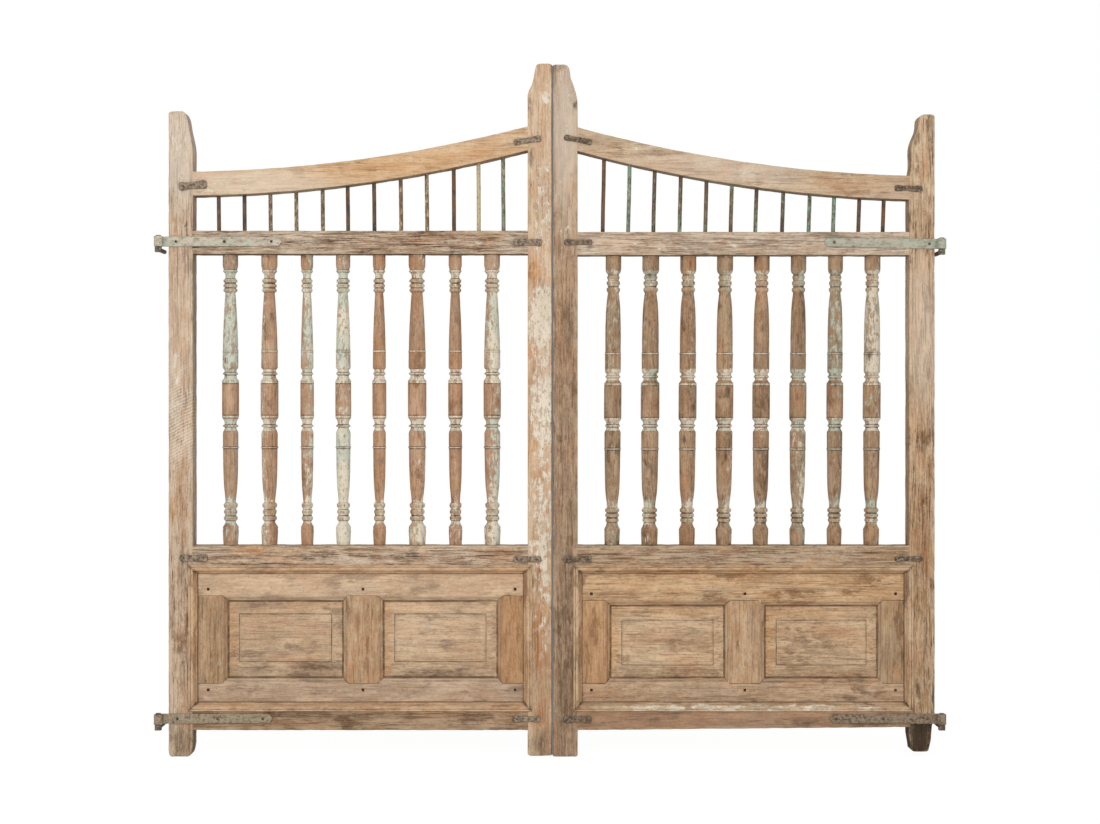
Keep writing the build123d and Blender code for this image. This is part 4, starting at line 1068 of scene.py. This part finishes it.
turned = {
    "segments": 28, "fineStep": 0.0013, "longStep": 0.0044, "nearBead": 0.004, "grooveDepth": 0.025,
    "grooveHalf": 0.0011, "wave": 0.0003, "rough": 0.0003, "chip": 0.0005, "intoRail": 0.0004,
    "thinRing": 0.003,
    # stretches of paint: lowest and highest place, and which amount of "paint" below holds there
    "zones": (
        (0.0, 0.05, 5), (0.06, 0.11, 1), (0.13, 0.32, 4), (0.33, 0.42, 3), (0.43, 0.66, 2),
        (0.665, 0.712, 1), (0.72, 0.76, 0),
    ),
    # runs: height above the lock rail and share of the thickest radius; beads: middle, half height, share
    "left": {
        "runs": [
            (0.0000, 0.86), (0.0379, 0.95), (0.0418, 0.90), (0.0443, 0.95), (0.0484, 0.90), (0.0549, 0.70),
            (0.0601, 0.60), (0.0640, 0.64), (0.1090, 0.64), (0.1150, 0.62), (0.1294, 0.68), (0.1500, 0.78),
            (0.1765, 0.84), (0.2104, 0.88), (0.2444, 0.89), (0.2588, 0.91), (0.2915, 0.92), (0.2967, 0.86),
            (0.3020, 0.74), (0.3046, 0.68), (0.3163, 0.70), (0.3229, 0.74), (0.3281, 0.86), (0.3307, 0.95),
            (0.3346, 1.00), (0.4261, 1.00), (0.4301, 0.96), (0.4340, 0.80), (0.4392, 0.72), (0.4536, 0.72),
            (0.4575, 0.74), (0.4609, 0.90), (0.4640, 0.93), (0.5032, 0.92), (0.5110, 0.90), (0.5372, 0.88),
            (0.5634, 0.84), (0.6026, 0.76), (0.6418, 0.66), (0.6575, 0.60), (0.6600, 0.64), (0.6930, 0.64),
            (0.6993, 0.58), (0.7059, 0.60), (0.7111, 0.74), (0.7190, 0.80), (0.7255, 0.88), (0.7307, 0.91),
            (0.7570, 0.91),
        ],
        "beads": [
            (0.0695, 0.0062, 0.82), (0.0865, 0.0062, 0.80), (0.1033, 0.0068, 0.84), (0.2541, 0.0022, 1.00),
            (0.3106, 0.0034, 0.94), (0.4470, 0.0034, 0.92), (0.5058, 0.0022, 0.96), (0.6651, 0.0052, 0.84),
            (0.6768, 0.0052, 0.84), (0.6894, 0.0052, 0.84), (0.7145, 0.0028, 0.88),
        ],
        "grooves": (0.3385, 0.4209),
    },
    "right": {
        "runs": [
            (0.0000, 0.85), (0.0340, 0.90), (0.0371, 0.88), (0.0392, 0.92), (0.0431, 0.86), (0.0523, 0.66),
            (0.0590, 0.63), (0.0970, 0.63), (0.1033, 0.62), (0.1137, 0.66), (0.1268, 0.74), (0.1451, 0.82),
            (0.1712, 0.86), (0.1974, 0.88), (0.2470, 0.91), (0.2549, 0.92), (0.2941, 0.93), (0.2980, 0.86),
            (0.3033, 0.72), (0.3182, 0.74), (0.3229, 0.80), (0.3268, 0.95), (0.3294, 1.00), (0.4196, 1.00),
            (0.4227, 0.98), (0.4274, 0.80), (0.4314, 0.72), (0.4470, 0.74), (0.4502, 0.88), (0.4536, 0.91),
            (0.4954, 0.92), (0.5058, 0.89), (0.5372, 0.90), (0.5634, 0.89), (0.5895, 0.86), (0.6157, 0.82),
            (0.6340, 0.76), (0.6497, 0.68), (0.6575, 0.63), (0.7040, 0.61), (0.7059, 0.62), (0.7098, 0.78),
            (0.7137, 0.86), (0.7200, 0.90), (0.7570, 0.90),
        ],
        "beads": [
            (0.0646, 0.0055, 0.76), (0.0771, 0.0055, 0.80), (0.0902, 0.0060, 0.83), (0.2504, 0.0024, 0.97),
            (0.3111, 0.0034, 0.88), (0.4392, 0.0036, 0.88), (0.4991, 0.0022, 0.97), (0.6666, 0.0060, 0.79),
            (0.6836, 0.0060, 0.78), (0.6988, 0.0050, 0.73),
        ],
        "grooves": (0.3333, 0.4157),
    },
    # by number outwards from the meeting stile, how much paint is left on the
    # top block, beads, upper taper, middle cylinder, lower taper and foot
    "paint": {
        "left": [
            (0.25, 0.62, 0.56, 0.25, 0.45, 0.60), (0.20, 0.50, 0.12, 0.12, 0.10, 0.40),
            (0.22, 0.52, 0.14, 0.12, 0.26, 0.50), (0.18, 0.55, 0.12, 0.08, 0.12, 0.20),
            (0.38, 0.72, 0.58, 0.36, 0.64, 0.85), (0.34, 0.66, 0.48, 0.28, 0.36, 0.12),
            (0.20, 0.50, 0.20, 0.20, 0.24, 0.36), (0.30, 0.60, 0.56, 0.12, 0.24, 0.36),
        ],
        "right": [
            (0.18, 0.52, 0.34, 0.18, 0.20, 0.40), (0.16, 0.55, 0.22, 0.20, 0.22, 0.25),
            (0.14, 0.52, 0.22, 0.22, 0.20, 0.10), (0.14, 0.54, 0.20, 0.14, 0.22, 0.24),
            (0.14, 0.50, 0.18, 0.14, 0.20, 0.18), (0.14, 0.52, 0.18, 0.14, 0.42, 0.36),
            (0.20, 0.54, 0.42, 0.26, 0.28, 0.24), (0.24, 0.58, 0.56, 0.36, 0.24, 0.20),
        ],
    },
    # on which side the paint has held, from -1 for the viewer's left to 1 for the right
    "lean": {
        "left": (0.7, 0.0, 0.6, 0.2, 0.1, 0.5, -0.8, 0.1),
        "right": (0.1, -0.3, 0.6, 0.7, 0.0, 0.3, 0.2, 0.3),
    },
    "warmth": {
        "left": (0.10, 0.28, 0.28, 0.38, 0.05, 0.10, 0.12, 0.10),
        "right": (0.05, 0.12, 0.28, 0.18, 0.12, 0.05, 0.12, 0.12),
    },
    # from 0 for cream paint only to 1 for the greenish one
    "hue": {
        "left": (0.45, 0.20, 0.25, 0.15, 0.55, 0.50, 0.15, 0.70),
        "right": (0.35, 0.45, 0.25, 0.40, 0.30, 0.60, 0.65, 0.40),
    },
    # how strongly dark patches show, which lie along the height
    "stain": {"left": 0.6, "right": 1.1},
    "coat": {"left": ("#e2d7c1", "#cbcebc"), "right": ("#d9ccb6", "#b7bba7")},
    "tones": {
        "left": ("#c6a68a", "#ad8769", "#7d5c46"),
        "right": ("#b69a7c", "#99795c", "#644a36"),
    },
}


def shareAt(height, side):
    # share of the thickest radius at a height above the lock rail
    runs = turned[side]["runs"]
    share = float(np.interp(height, [h for h, s in runs], [s for h, s in runs]))
    for middle, half, top in turned[side]["beads"]:
        reach = abs(height - middle) / half
        if reach < 1.0:
            share = max(share, share + (top - share) * math.sqrt(1.0 - reach * reach))
    for middle in turned[side]["grooves"]:
        share -= turned["grooveDepth"] * max(0.0, 1.0 - abs(height - middle) / turned["grooveHalf"])
    return share


def turnedHeights(side, end):
    # close stations where the profile turns sharply, wider ones along the tapers
    runs, beads = turned[side]["runs"], turned[side]["beads"]
    marks = [m for m, h, s in beads] + list(turned[side]["grooves"])
    marks += [h for (h, s), (g, t) in zip(runs, runs[1:]) if abs(t - s) > 5 * (g - h)]
    heights = [0.0]
    while heights[-1] < end:
        near = min(abs(heights[-1] - mark) for mark in marks) < turned["nearBead"] + 0.003
        heights.append(heights[-1] + turned["fineStep" if near else "longStep"])
    return heights[:-1] + [end]


def turnedBaluster(side, number):
    node = f"{side}_baluster_{number}"
    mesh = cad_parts[node].data
    points = np.array([v.co for v in mesh.vertices], float)
    low, high = points[:, 2].min(), points[:, 2].max()
    foot = points[points[:, 2] < low + 0.001].mean(axis=0)
    head = points[points[:, 2] > high - 0.001].mean(axis=0)
    lean = (head - foot) / (high - low)
    axisX = foot[0] + lean[0] * (points[:, 2] - low)
    radius = np.hypot(points[:, 0] - axisX, points[:, 1] - foot[1]).max()
    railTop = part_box(f"{side}_lock_rail")[1].z
    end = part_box(f"{side}_middle_rail")[0].z - railTop - turned["intoRail"]
    segments = turned["segments"]
    rings, edges, paint, dirt_and_shade = [], [], [], []
    keep = turned["paint"][side][number - 1]
    held = turned["lean"][side][number - 1]
    heights = [max(h, turned["intoRail"]) for h in turnedHeights(side, end)]
    beads, grooves = turned[side]["beads"], turned[side]["grooves"]
    zoneHeights = [h for start, stop, which in turned["zones"] for h in (start, stop)]
    zoneAmounts = np.repeat([keep[which] for start, stop, which in turned["zones"]], 2)
    for height in heights:
        share = shareAt(height, side)
        z = railTop + height
        middleX = foot[0] + lean[0] * (z - low)
        zones = np.interp(height, zoneHeights, zoneAmounts)
        onBead = max(0.0, 1.0 - min(abs(height - m) / h for m, h, s in beads))
        besideBead = float(any(-0.0007 < abs(height - m) - h < 0.0014 for m, h, s in beads))
        inGroove = float(any(abs(height - g) < turned["grooveHalf"] for g in grooves))
        cove = float(0.429 < height < 0.459 or 0.298 < height < 0.328)
        collar = float(0.001 < grooves[0] - height < 0.006 or 0.001 < height - grooves[1] < 0.006)
        onRing = float(any(h < turned["thinRing"] and abs(height - m) < 0.8 * h for m, h, s in beads))
        covered = max(zones * (1.0 - 0.35 * onBead), 0.6 * cove, 0.55 * collar, 0.62 * onRing)
        ends = 0.3 if height < 0.010 or height > end - 0.010 else 0.0
        for k in range(segments):
            angle = 2 * math.pi * k / segments
            reach = share * radius
            place = (middleX + reach * math.cos(angle), foot[1] + reach * math.sin(angle), z)
            rings.append(place)
            paint.append(min(1.0, max(0.0, covered + 0.26 * held * math.cos(angle))))
            patch = noise.noise(Vector((place[0] * 60, place[1] * 60, place[2] * 32 + 5 * number)))
            stain = turned["stain"][side] * max(0.0, patch - 0.1)
            # painted shade in the crevices beside the beads and in the grooves, and darker within 10 mm of
            # the rails; stain adds real dark patches
            dirt_and_shade.append(min(1.0, max(0.72 * besideBead, 0.7 * inGroove, ends) + stain))
        edges += [min(1.0, onBead * 1.4)] * segments
    piece = meshObject(f"{node}_turned", rings, ringFaces(segments, len(rings)))
    setAttribute(piece, "edge", edges)
    wornInwards(piece, turned, 40 + number)
    setAttribute(piece, "paint", paint)
    setAttribute(piece, "dirt_and_shade", dirt_and_shade)
    for name in ("warmth", "hue"):
        setAttribute(piece, name, [turned[name][side][number - 1]] * len(rings))
    piece.data.shade_smooth()
    piece.data.set_sharp_from_angle(angle=math.radians(60))
    return piece


for side in sides:
    look = {"tones": turned["tones"][side], "coat": turned["coat"][side], "figure": 0.15, "cracks": 0.4,
            "fineness": 1.5, "dirtShadeColor": "#4a3829", "edgeColor": "#c4aa8b", "rim": 0.85}
    material = woodMaterial(f"{side} turned wood", "Z", look, bump=0.4)
    for number in range(1, 9):
        piece = turnedBaluster(side, number)
        finish(piece, material, f"{side}_leaf", "baluster", f"{side}_baluster_{number}")
print("balusters done")


# Iron rods: Geometry Nodes sweep each rod along its own line, a little bent

def setInput(modifier, label, value):
    for item in modifier.node_group.interface.items_tree:
        if item.item_type == "SOCKET" and item.in_out == "INPUT" and item.name == label:
            modifier[item.identifier] = value


def bakeNodes(base, tree, inputs, name):
    # runs a Geometry Nodes tree once and keeps its result as a plain mesh
    modifier = base.modifiers.new(name, "NODES")
    modifier.node_group = tree
    for label, value in inputs.items():
        setInput(modifier, label, value)
    graph = bpy.context.evaluated_depsgraph_get()
    data = bpy.data.meshes.new_from_object(base.evaluated_get(graph))
    base.modifiers.remove(modifier)
    bpy.data.objects.remove(base)
    return newObject(name, data)


def rodTree():
    tree, given, out = newGroup(
        "iron rods", "GeometryNodeTree",
        {
            "Lines": "Geometry", "Radius": 0.0055, "Sides": 14, "Bend": 0.001, "Seed": 0.0,
            "Material": "Material",
        },
        {"Geometry": "Geometry"},
    )
    curve = addNode(tree, "GeometryNodeMeshToCurve", {"Mesh": given["Lines"]})
    finer = addNode(tree, "GeometryNodeResampleCurve", {"Curve": curve.outputs[0], "Count": 26})
    place = addNode(tree, "GeometryNodeInputPosition")
    wobble = addNode(tree, "ShaderNodeTexNoise", {
        "Vector": place.outputs[0], "W": given["Seed"], "Scale": 9.0, "Detail": 1.0}, noise_dimensions="4D")
    centred = addNode(tree, "ShaderNodeVectorMath", {0: wobble.outputs["Color"], 1: (0.5, 0.5, 0.5)},
                      operation="SUBTRACT")
    scaled = addNode(tree, "ShaderNodeVectorMath", {0: centred.outputs[0], "Scale": given["Bend"]},
                     operation="SCALE")
    bent = addNode(tree, "GeometryNodeSetPosition", {
        "Geometry": finer.outputs[0], "Offset": scaled.outputs[0]})
    ring = addNode(tree, "GeometryNodeCurvePrimitiveCircle", {
        "Resolution": given["Sides"], "Radius": given["Radius"]})
    rods = addNode(tree, "GeometryNodeCurveToMesh", {
        "Curve": bent.outputs[0], "Profile Curve": ring.outputs[0], "Fill Caps": True})
    real = addNode(tree, "GeometryNodeRealizeInstances", {"Geometry": rods.outputs[0]})
    dressed = addNode(tree, "GeometryNodeSetMaterial", {
        "Geometry": real.outputs[0], "Material": given["Material"]})
    tree.links.new(dressed.outputs[0], out["Geometry"])
    return tree


rods = {
    "radius": 0.0053, "sides": 14, "bend": 0.0016,
    # from the left end of a leaf: paint at the foot and the head of a rod, how rusty and how green it is
    "left": (
        (0.12, 0.08, 0.0, 0.3), (0.14, 0.12, 0.0, 0.3), (0.38, 0.38, 0.6, 0.2), (0.42, 0.42, 0.6, 0.2),
        (0.40, 0.38, 0.5, 0.2), (0.18, 0.12, 0.0, 0.5), (0.10, 0.10, 0.0, 0.5), (0.40, 0.34, 0.6, 0.2),
        (0.42, 0.38, 0.6, 0.2), (0.10, 0.10, 0.0, 0.5), (0.70, 0.62, 0.2, 0.0), (0.48, 0.48, 0.0, 0.9),
    ),
    "right": (
        (0.12, 0.10, 0.1, 0.5), (0.52, 0.52, 0.1, 0.6), (0.35, 0.30, 0.0, 0.6), (0.56, 0.18, 0.1, 0.5),
        (0.50, 0.20, 0.4, 0.5), (0.22, 0.52, 0.4, 0.5), (0.54, 0.18, 0.1, 0.5), (0.25, 0.46, 0.2, 0.8),
        (0.50, 0.44, 0.1, 0.5), (0.50, 0.50, 0.1, 0.5), (0.20, 0.12, 0.1, 0.5), (0.15, 0.12, 0.1, 0.5),
    ),
    "coat": {"left": ("#c9b793", "#8f9c8a"), "right": ("#93b39a", "#7d9581")},
}
rodGroup = rodTree()

for side in sides:
    node = f"{side}_top_rods"
    points, lines = [], []
    given = {"paint": [], "warmth": [], "hue": []}
    found = sorted(islands(node), key=lambda cloud: cloud[:, 0].mean())
    for index, cloud in enumerate(found):
        low, high = cloud[:, 2].min(), cloud[:, 2].max()
        foot = cloud[cloud[:, 2] < low + 0.003].mean(axis=0)
        head = cloud[cloud[:, 2] > high - 0.003].mean(axis=0)
        lines.append((len(points), len(points) + 1))
        points += [foot, head]
        footPaint, headPaint, rust, green = rods[side][index]
        given["paint"] += [footPaint, headPaint]
        given["warmth"] += [rust] * 2
        given["hue"] += [green] * 2
    base = meshObject(f"{node}_lines", points, [], lines)
    for name, values in given.items():
        setAttribute(base, name, values)
    look = {"tones": ("#51473d", "#76583f", "#85796a"), "dusty": 0.25, "coat": rods["coat"][side],
            "fineness": 2.2}
    material = ironMaterial(f"{side} rod iron", look)
    piece = bakeNodes(base, rodGroup, {
        "Radius": rods["radius"], "Sides": rods["sides"], "Bend": rods["bend"],
        "Seed": 1.0 if side == "left" else 2.0, "Material": material}, f"{node}_round")
    piece.data.shade_smooth()
    finish(piece, material, f"{side}_leaf", "rod_iron", node)
print("rods done")


# Straps, ties, pintles and nails

ironwork = {
    # a strap is swept along its line in plan: its blade, then the eye rolled round the pin
    "strap": {"step": 0.005, "tipStep": 0.0012, "tipRound": 0.009, "arcStep": 9, "arcEnd": 392,
              "corner": 0.0011, "rowsAcross": 9, "wave": 0.0006, "rough": 0.0005, "chip": 0.0009},
    "pintle": {"bevel": 0.0010, "step": 0.008, "wave": 0.0003, "rough": 0.0003, "chip": 0.0004},
    "tie": {"corner": 0.0014, "endInset": 0.0016, "wave": 0.0008, "rough": 0.0008, "chip": 0.0010,
            "faceCuts": 3, "sideCuts": 1, "step": 0.0022, "endRound": 0.0025},
    "nail": {"radius": 0.0042, "top": 0.0018, "height": 0.0024, "sides": 9},
}
strapLooks = {
    "left_hinge_strap_upper": {"tones": ("#7d7161", "#978673", "#b9ad9a"), "dusty": 0.55,
                               "coat": ("#cbc1ae", "#bfc2b0"), "paint": 0.55, "fineness": 1.6},
    "left_hinge_strap_lower": {"tones": ("#6f5d4a", "#8b7762", "#a99a82"), "dusty": 0.55,
                               "coat": ("#b3a488", "#a39a84"), "paint": 0.35, "fineness": 1.6},
    "right_hinge_strap_upper": {"tones": ("#7c7261", "#928875", "#a9a492"), "dusty": 0.55,
                                "coat": ("#b9b5a3", "#b0b7a4"), "paint": 0.55, "fineness": 1.6},
    "right_hinge_strap_lower": {"tones": ("#5b4838", "#7c6753", "#9a8a75"), "dusty": 0.5,
                                "coat": ("#a2937b", "#958972"), "paint": 0.32, "fineness": 1.8},
}


def strapLine(node, pintleNode):
    # stations as (x, y, direction of the outer surface, lowest z, highest z), from the tip to the eye's end
    shape = ironwork["strap"]
    edges = cadEdges(node)
    low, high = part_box(node)
    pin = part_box(pintleNode)
    axisX = (pin[0].x + pin[1].x) / 2
    inwards = -1.0 if axisX > 0 else 1.0
    outer = abs((low.x if axisX < 0 else high.x) - axisX)
    tipX = high.x if axisX < 0 else low.x
    length = abs(tipX - axisX)
    blade = sliceLimits(edges, 0, axisX + inwards * 0.6 * length, 1)
    thickness = blade[1] - blade[0]
    middle = outer - thickness / 2
    axisY = high.y - outer
    stations = []
    along = length
    while along > 0.0:
        x = axisX + inwards * along
        cutAt = axisX + inwards * max(outer + 0.002, min(along, length - 2e-4))
        lowZ, highZ = sliceLimits(edges, 0, cutAt, 2)
        fromTip = length - along
        if fromTip < shape["tipRound"]:
            reach = 1.0 - fromTip / shape["tipRound"]
            squeeze = 1.0 - math.sqrt(max(0.0, 1.0 - reach * reach))
            lowZ, highZ = lowZ + squeeze * 0.42 * (highZ - lowZ), highZ - squeeze * 0.42 * (highZ - lowZ)
            along -= shape["tipStep"]
        else:
            along -= shape["step"]
        stations.append((x, axisY + middle, (0.0, 1.0), lowZ, highZ))
    lowZ, highZ = stations[-1][3:]
    angle = 90
    while angle <= shape["arcEnd"]:
        turn = math.radians(angle)
        outwards = (inwards * math.cos(turn), math.sin(turn))
        stations.append((
            axisX + middle * outwards[0], axisY + middle * outwards[1], outwards, lowZ, highZ))
        angle += shape["arcStep"]
    return stations, thickness


def forgedStrap(node, pintleNode, seed):
    shape = ironwork["strap"]
    stations, thickness = strapLine(node, pintleNode)
    corner = shape["corner"]
    face, rim = thickness / 2, thickness / 2 - corner
    points, edges = [], []
    for x, y, outwards, lowZ, highZ in stations:
        tall = highZ - lowZ
        gaps = shape["rowsAcross"] - 1
        rows = [corner + (tall - 2 * corner) * k / gaps for k in range(gaps + 1)]
        ring = [(rim, 0.0)] + [(face, row) for row in rows] + [(rim, tall), (-rim, tall)]
        ring += [(-face, row) for row in reversed(rows)] + [(-rim, 0.0)]
        for depth, height in ring:
            points.append((x + outwards[0] * depth, y + outwards[1] * depth, lowZ + height))
            edges.append(1.0 if min(height, tall - height) < 1.5 * corner else 0.0)
    piece = meshObject(f"{node}_forged", points, ringFaces(len(points) // len(stations), len(points)))
    setAttribute(piece, "edge", edges)
    squareUp(piece)
    wornInwards(piece, shape, seed)
    piece.data.shade_smooth()
    piece.data.set_sharp_from_angle(angle=math.radians(55))
    return piece


for index, (node, look) in enumerate(strapLooks.items()):
    side = node.split("_")[0]
    level = node.split("_")[-1]
    piece = forgedStrap(node, f"{side}_pintle_{level}", 60 + index)
    setAttribute(piece, "paint", [look["paint"]] * len(piece.data.vertices))
    slot = "painted_strap" if level == "upper" else "rusty_strap"
    finish(piece, ironMaterial(f"{node} iron", dict(look, grain="X")), f"{side}_leaf", slot, node)

pintleIron = ironMaterial("pintle iron", {"tones": ("#5a5146", "#75675a", "#958a78"), "dusty": 0.4})
for side in sides:
    for level in ("upper", "lower"):
        node = f"{side}_pintle_{level}"
        piece = softenedCopy(node, f"{node}_forged", ironwork["pintle"], 70)
        finish(piece, pintleIron, "pintles", "pintle_iron", node)


def forgedTie(cloud, name, seed):
    # a short rough strap with rounded ends, laid along the CAD strap's own slope
    shape = dict(ironwork["tie"], seed=seed)
    centre = cloud.mean(axis=0)
    flat = cloud[:, [0, 2]] - centre[[0, 2]]
    values, directions = np.linalg.eigh(np.cov(flat.T))
    long = directions[:, 1] * np.sign(directions[0, 1])
    along = flat @ long
    half, tall = along.max(), (flat @ np.array((-long[1], long[0]))).max()
    front, back = cloud[:, 1].min(), cloud[:, 1].max()

    def limitsAt(x):
        end = min(1.0, (half - abs(x)) / (0.8 * tall) + 0.3)
        waist = 1.0 - 0.20 * max(0.0, 1.0 - (1.35 * x / half) ** 2)
        lower = 1.0 - 0.22 * (0.5 + 0.5 * noise.noise(Vector((x * 70, seed * 3.3, 0))))
        upper = 1.0 - 0.22 * (0.5 + 0.5 * noise.noise(Vector((x * 70, seed * 3.3, 5))))
        breadth = tall * waist * math.sqrt(max(0.1, 1 - (1 - end) ** 2))
        return -breadth * lower, breadth * upper

    stations = stationsBetween(-half, half, shape["step"], shape["endRound"])
    piece = timber(name, 0, stations, limitsAt, (front, back), shape)
    turn = Matrix((
        (long[0], 0, -long[1], centre[0]), (0, 1, 0, 0), (long[1], 0, long[0], centre[2]), (0, 0, 0, 1)))
    piece.data.transform(turn)
    return piece


def joined(pieces, name):
    # several meshes as one piece
    mesh = bmesh.new()
    for piece in pieces:
        mesh.from_mesh(piece.data)
        bpy.data.objects.remove(piece)
    data = bpy.data.meshes.new(name)
    mesh.to_mesh(data)
    mesh.free()
    return newObject(name, data)


tieLooks = {
    "left": {"tones": ("#5d4f42", "#776453", "#a3937f"), "dusty": 0.5},
    "right": {"tones": ("#544638", "#725f4b", "#998877"), "dusty": 0.42},
}
tieIron = {side: ironMaterial(f"{side} tie iron", tieLooks[side], bump=1.0) for side in sides}
for side in sides:
    node = f"{side}_tie_straps"
    parts = [forgedTie(cloud, f"{side}_tie", 80 + i) for i, cloud in enumerate(islands(node))]
    piece = joined(parts, f"{node}_forged")
    piece.data.shade_smooth()
    finish(piece, tieIron[side], f"{side}_leaf", "rusty_strap", node)


def nailTree():
    tree, given, out = newGroup(
        "nail heads", "GeometryNodeTree",
        {
            "Places": "Geometry", "Radius": 0.004, "Top": 0.002, "Height": 0.002, "Sides": 9, "Seed": 0,
            "Material": "Material",
        },
        {"Geometry": "Geometry"},
    )
    head = addNode(tree, "GeometryNodeMeshCone", {
        "Vertices": given["Sides"], "Radius Bottom": given["Radius"], "Radius Top": given["Top"],
        "Depth": given["Height"]})
    turn = addNode(tree, "FunctionNodeRandomValue", {
        0: (math.pi / 2, -0.1, 0.0), 1: (math.pi / 2, 0.1, 0.0), "Seed": given["Seed"]},
        data_type="FLOAT_VECTOR")
    size = addNode(
        tree, "FunctionNodeRandomValue", {2: 0.72, 3: 1.0, "Seed": given["Seed"]}, data_type="FLOAT")
    placed = addNode(tree, "GeometryNodeInstanceOnPoints", {
        "Points": given["Places"], "Instance": head.outputs[0], "Rotation": turn.outputs[0],
        "Scale": size.outputs[1]})
    real = addNode(tree, "GeometryNodeRealizeInstances", {"Geometry": placed.outputs[0]})
    dressed = addNode(tree, "GeometryNodeSetMaterial", {
        "Geometry": real.outputs[0], "Material": given["Material"]})
    tree.links.new(dressed.outputs[0], out["Geometry"])
    return tree


nailGroup = nailTree()
nailIron = ironMaterial("nail iron", {"tones": ("#51463a", "#665545", "#85776a"), "dusty": 0.35})
for side in sides:
    node = f"{side}_nails"
    places = []
    for cloud in islands(node):
        front = cloud[:, 1].min()
        cap = cloud[cloud[:, 1] < front + 0.0001]
        places.append((cap[:, 0].mean(), front + ironwork["nail"]["height"] * 1.04, cap[:, 2].mean()))
    base = meshObject(f"{node}_places", places, [])
    piece = bakeNodes(base, nailGroup, {
        "Radius": ironwork["nail"]["radius"], "Top": ironwork["nail"]["top"],
        "Height": ironwork["nail"]["height"], "Sides": ironwork["nail"]["sides"], "Seed": 5,
        "Material": nailIron}, f"{node}_heads")
    finish(piece, nailIron, f"{side}_leaf", "nail_iron", node)

# pegs keep their CAD shape and only get a material
pegWood = woodMaterial("peg end grain", "Z", {"tones": ("#6b5340", "#4f3c2d", "#33251b"), "figure": 0.2})
for side in sides:
    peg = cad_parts[f"{side}_panel_pegs"]
    peg.data.materials.clear()
    peg.data.materials.append(pegWood)
print("ironwork done")


# Studio: floor, light and camera

studio = {
    "floorHalf": 6.0,
    "worldStrength": 0.55,
    "key": {"place": (-1.6, -4.6, 2.7), "size": (3.2, 2.2), "power": 95.0},
    "fill": {"place": (2.6, -4.0, 1.4), "size": (2.4, 2.4), "power": 34.0},
    "shadowShare": 0.16, "floorWhite": 1.1,
}


def buildFloor():
    half = studio["floorHalf"]
    corners = [(-half, -half, 0), (half, -half, 0), (half, half, 0), (-half, half, 0)]
    floor = meshObject("studio_floor", corners, [(0, 1, 2, 3)])
    material, tree, surface = startMaterial("studio floor")
    surface.inputs["Base Color"].default_value = (0.86, 0.86, 0.86, 1)
    surface.inputs["Roughness"].default_value = 0.9
    white = addNode(tree, "ShaderNodeEmission", {"Color": (1, 1, 1, 1), "Strength": studio["floorWhite"]})
    path = addNode(tree, "ShaderNodeLightPath")
    share = times(tree, path.outputs["Is Camera Ray"], 1.0 - studio["shadowShare"])
    mixed = addNode(tree, "ShaderNodeMixShader", {0: share, 1: surface.outputs[0], 2: white.outputs[0]})
    tree.links.new(mixed.outputs[0], tree.nodes["Material Output"].inputs["Surface"])
    floor.data.materials.append(material)


def buildWorld():
    world = bpy.data.worlds.new("studio")
    bpy.context.scene.world = world
    world.use_nodes = True
    tree = world.node_tree
    backdrop = tree.nodes["Background"]
    path = addNode(tree, "ShaderNodeLightPath")
    seen = calc(tree, "MAXIMUM", path.outputs["Is Camera Ray"], path.outputs["Is Glossy Ray"])
    seen = calc(tree, "MAXIMUM", seen, path.outputs["Is Transmission Ray"])
    strength = plus(tree, times(tree, seen, 1.0 - studio["worldStrength"]),
                    studio["worldStrength"])
    backdrop.inputs["Color"].default_value = (1, 1, 1, 1)
    tree.links.new(strength, backdrop.inputs["Strength"])


def addLamp(name, look):
    lamp = bpy.data.lights.new(name, "AREA")
    lamp.shape = "RECTANGLE"
    lamp.size, lamp.size_y = look["size"]
    lamp.energy = look["power"]
    holder = bpy.data.objects.new(name, lamp)
    holder.location = look["place"]
    aim = Vector((0, 0, 0.85)) - Vector(look["place"])
    holder.rotation_euler = aim.to_track_quat("-Z", "Y").to_euler()
    bpy.context.scene.collection.objects.link(holder)


def buildCamera():
    data = bpy.data.cameras.new("photo camera")
    data.sensor_width = 36.0
    width = photo["width"] * photo["pixel"]
    data.lens = data.sensor_width * photo["distance"] / width
    camera = bpy.data.objects.new("photo camera", data)
    camera.location = (0.0, frontY - photo["distance"], photo["eyeHeight"])
    camera.rotation_euler = (math.pi / 2, 0.0, 0.0)
    bpy.context.scene.collection.objects.link(camera)
    bpy.context.scene.camera = camera


buildFloor()
buildWorld()
addLamp("key lamp", studio["key"])
addLamp("fill lamp", studio["fill"])
buildCamera()
bpy.context.scene.view_settings.view_transform = "Standard"

print("studio done")
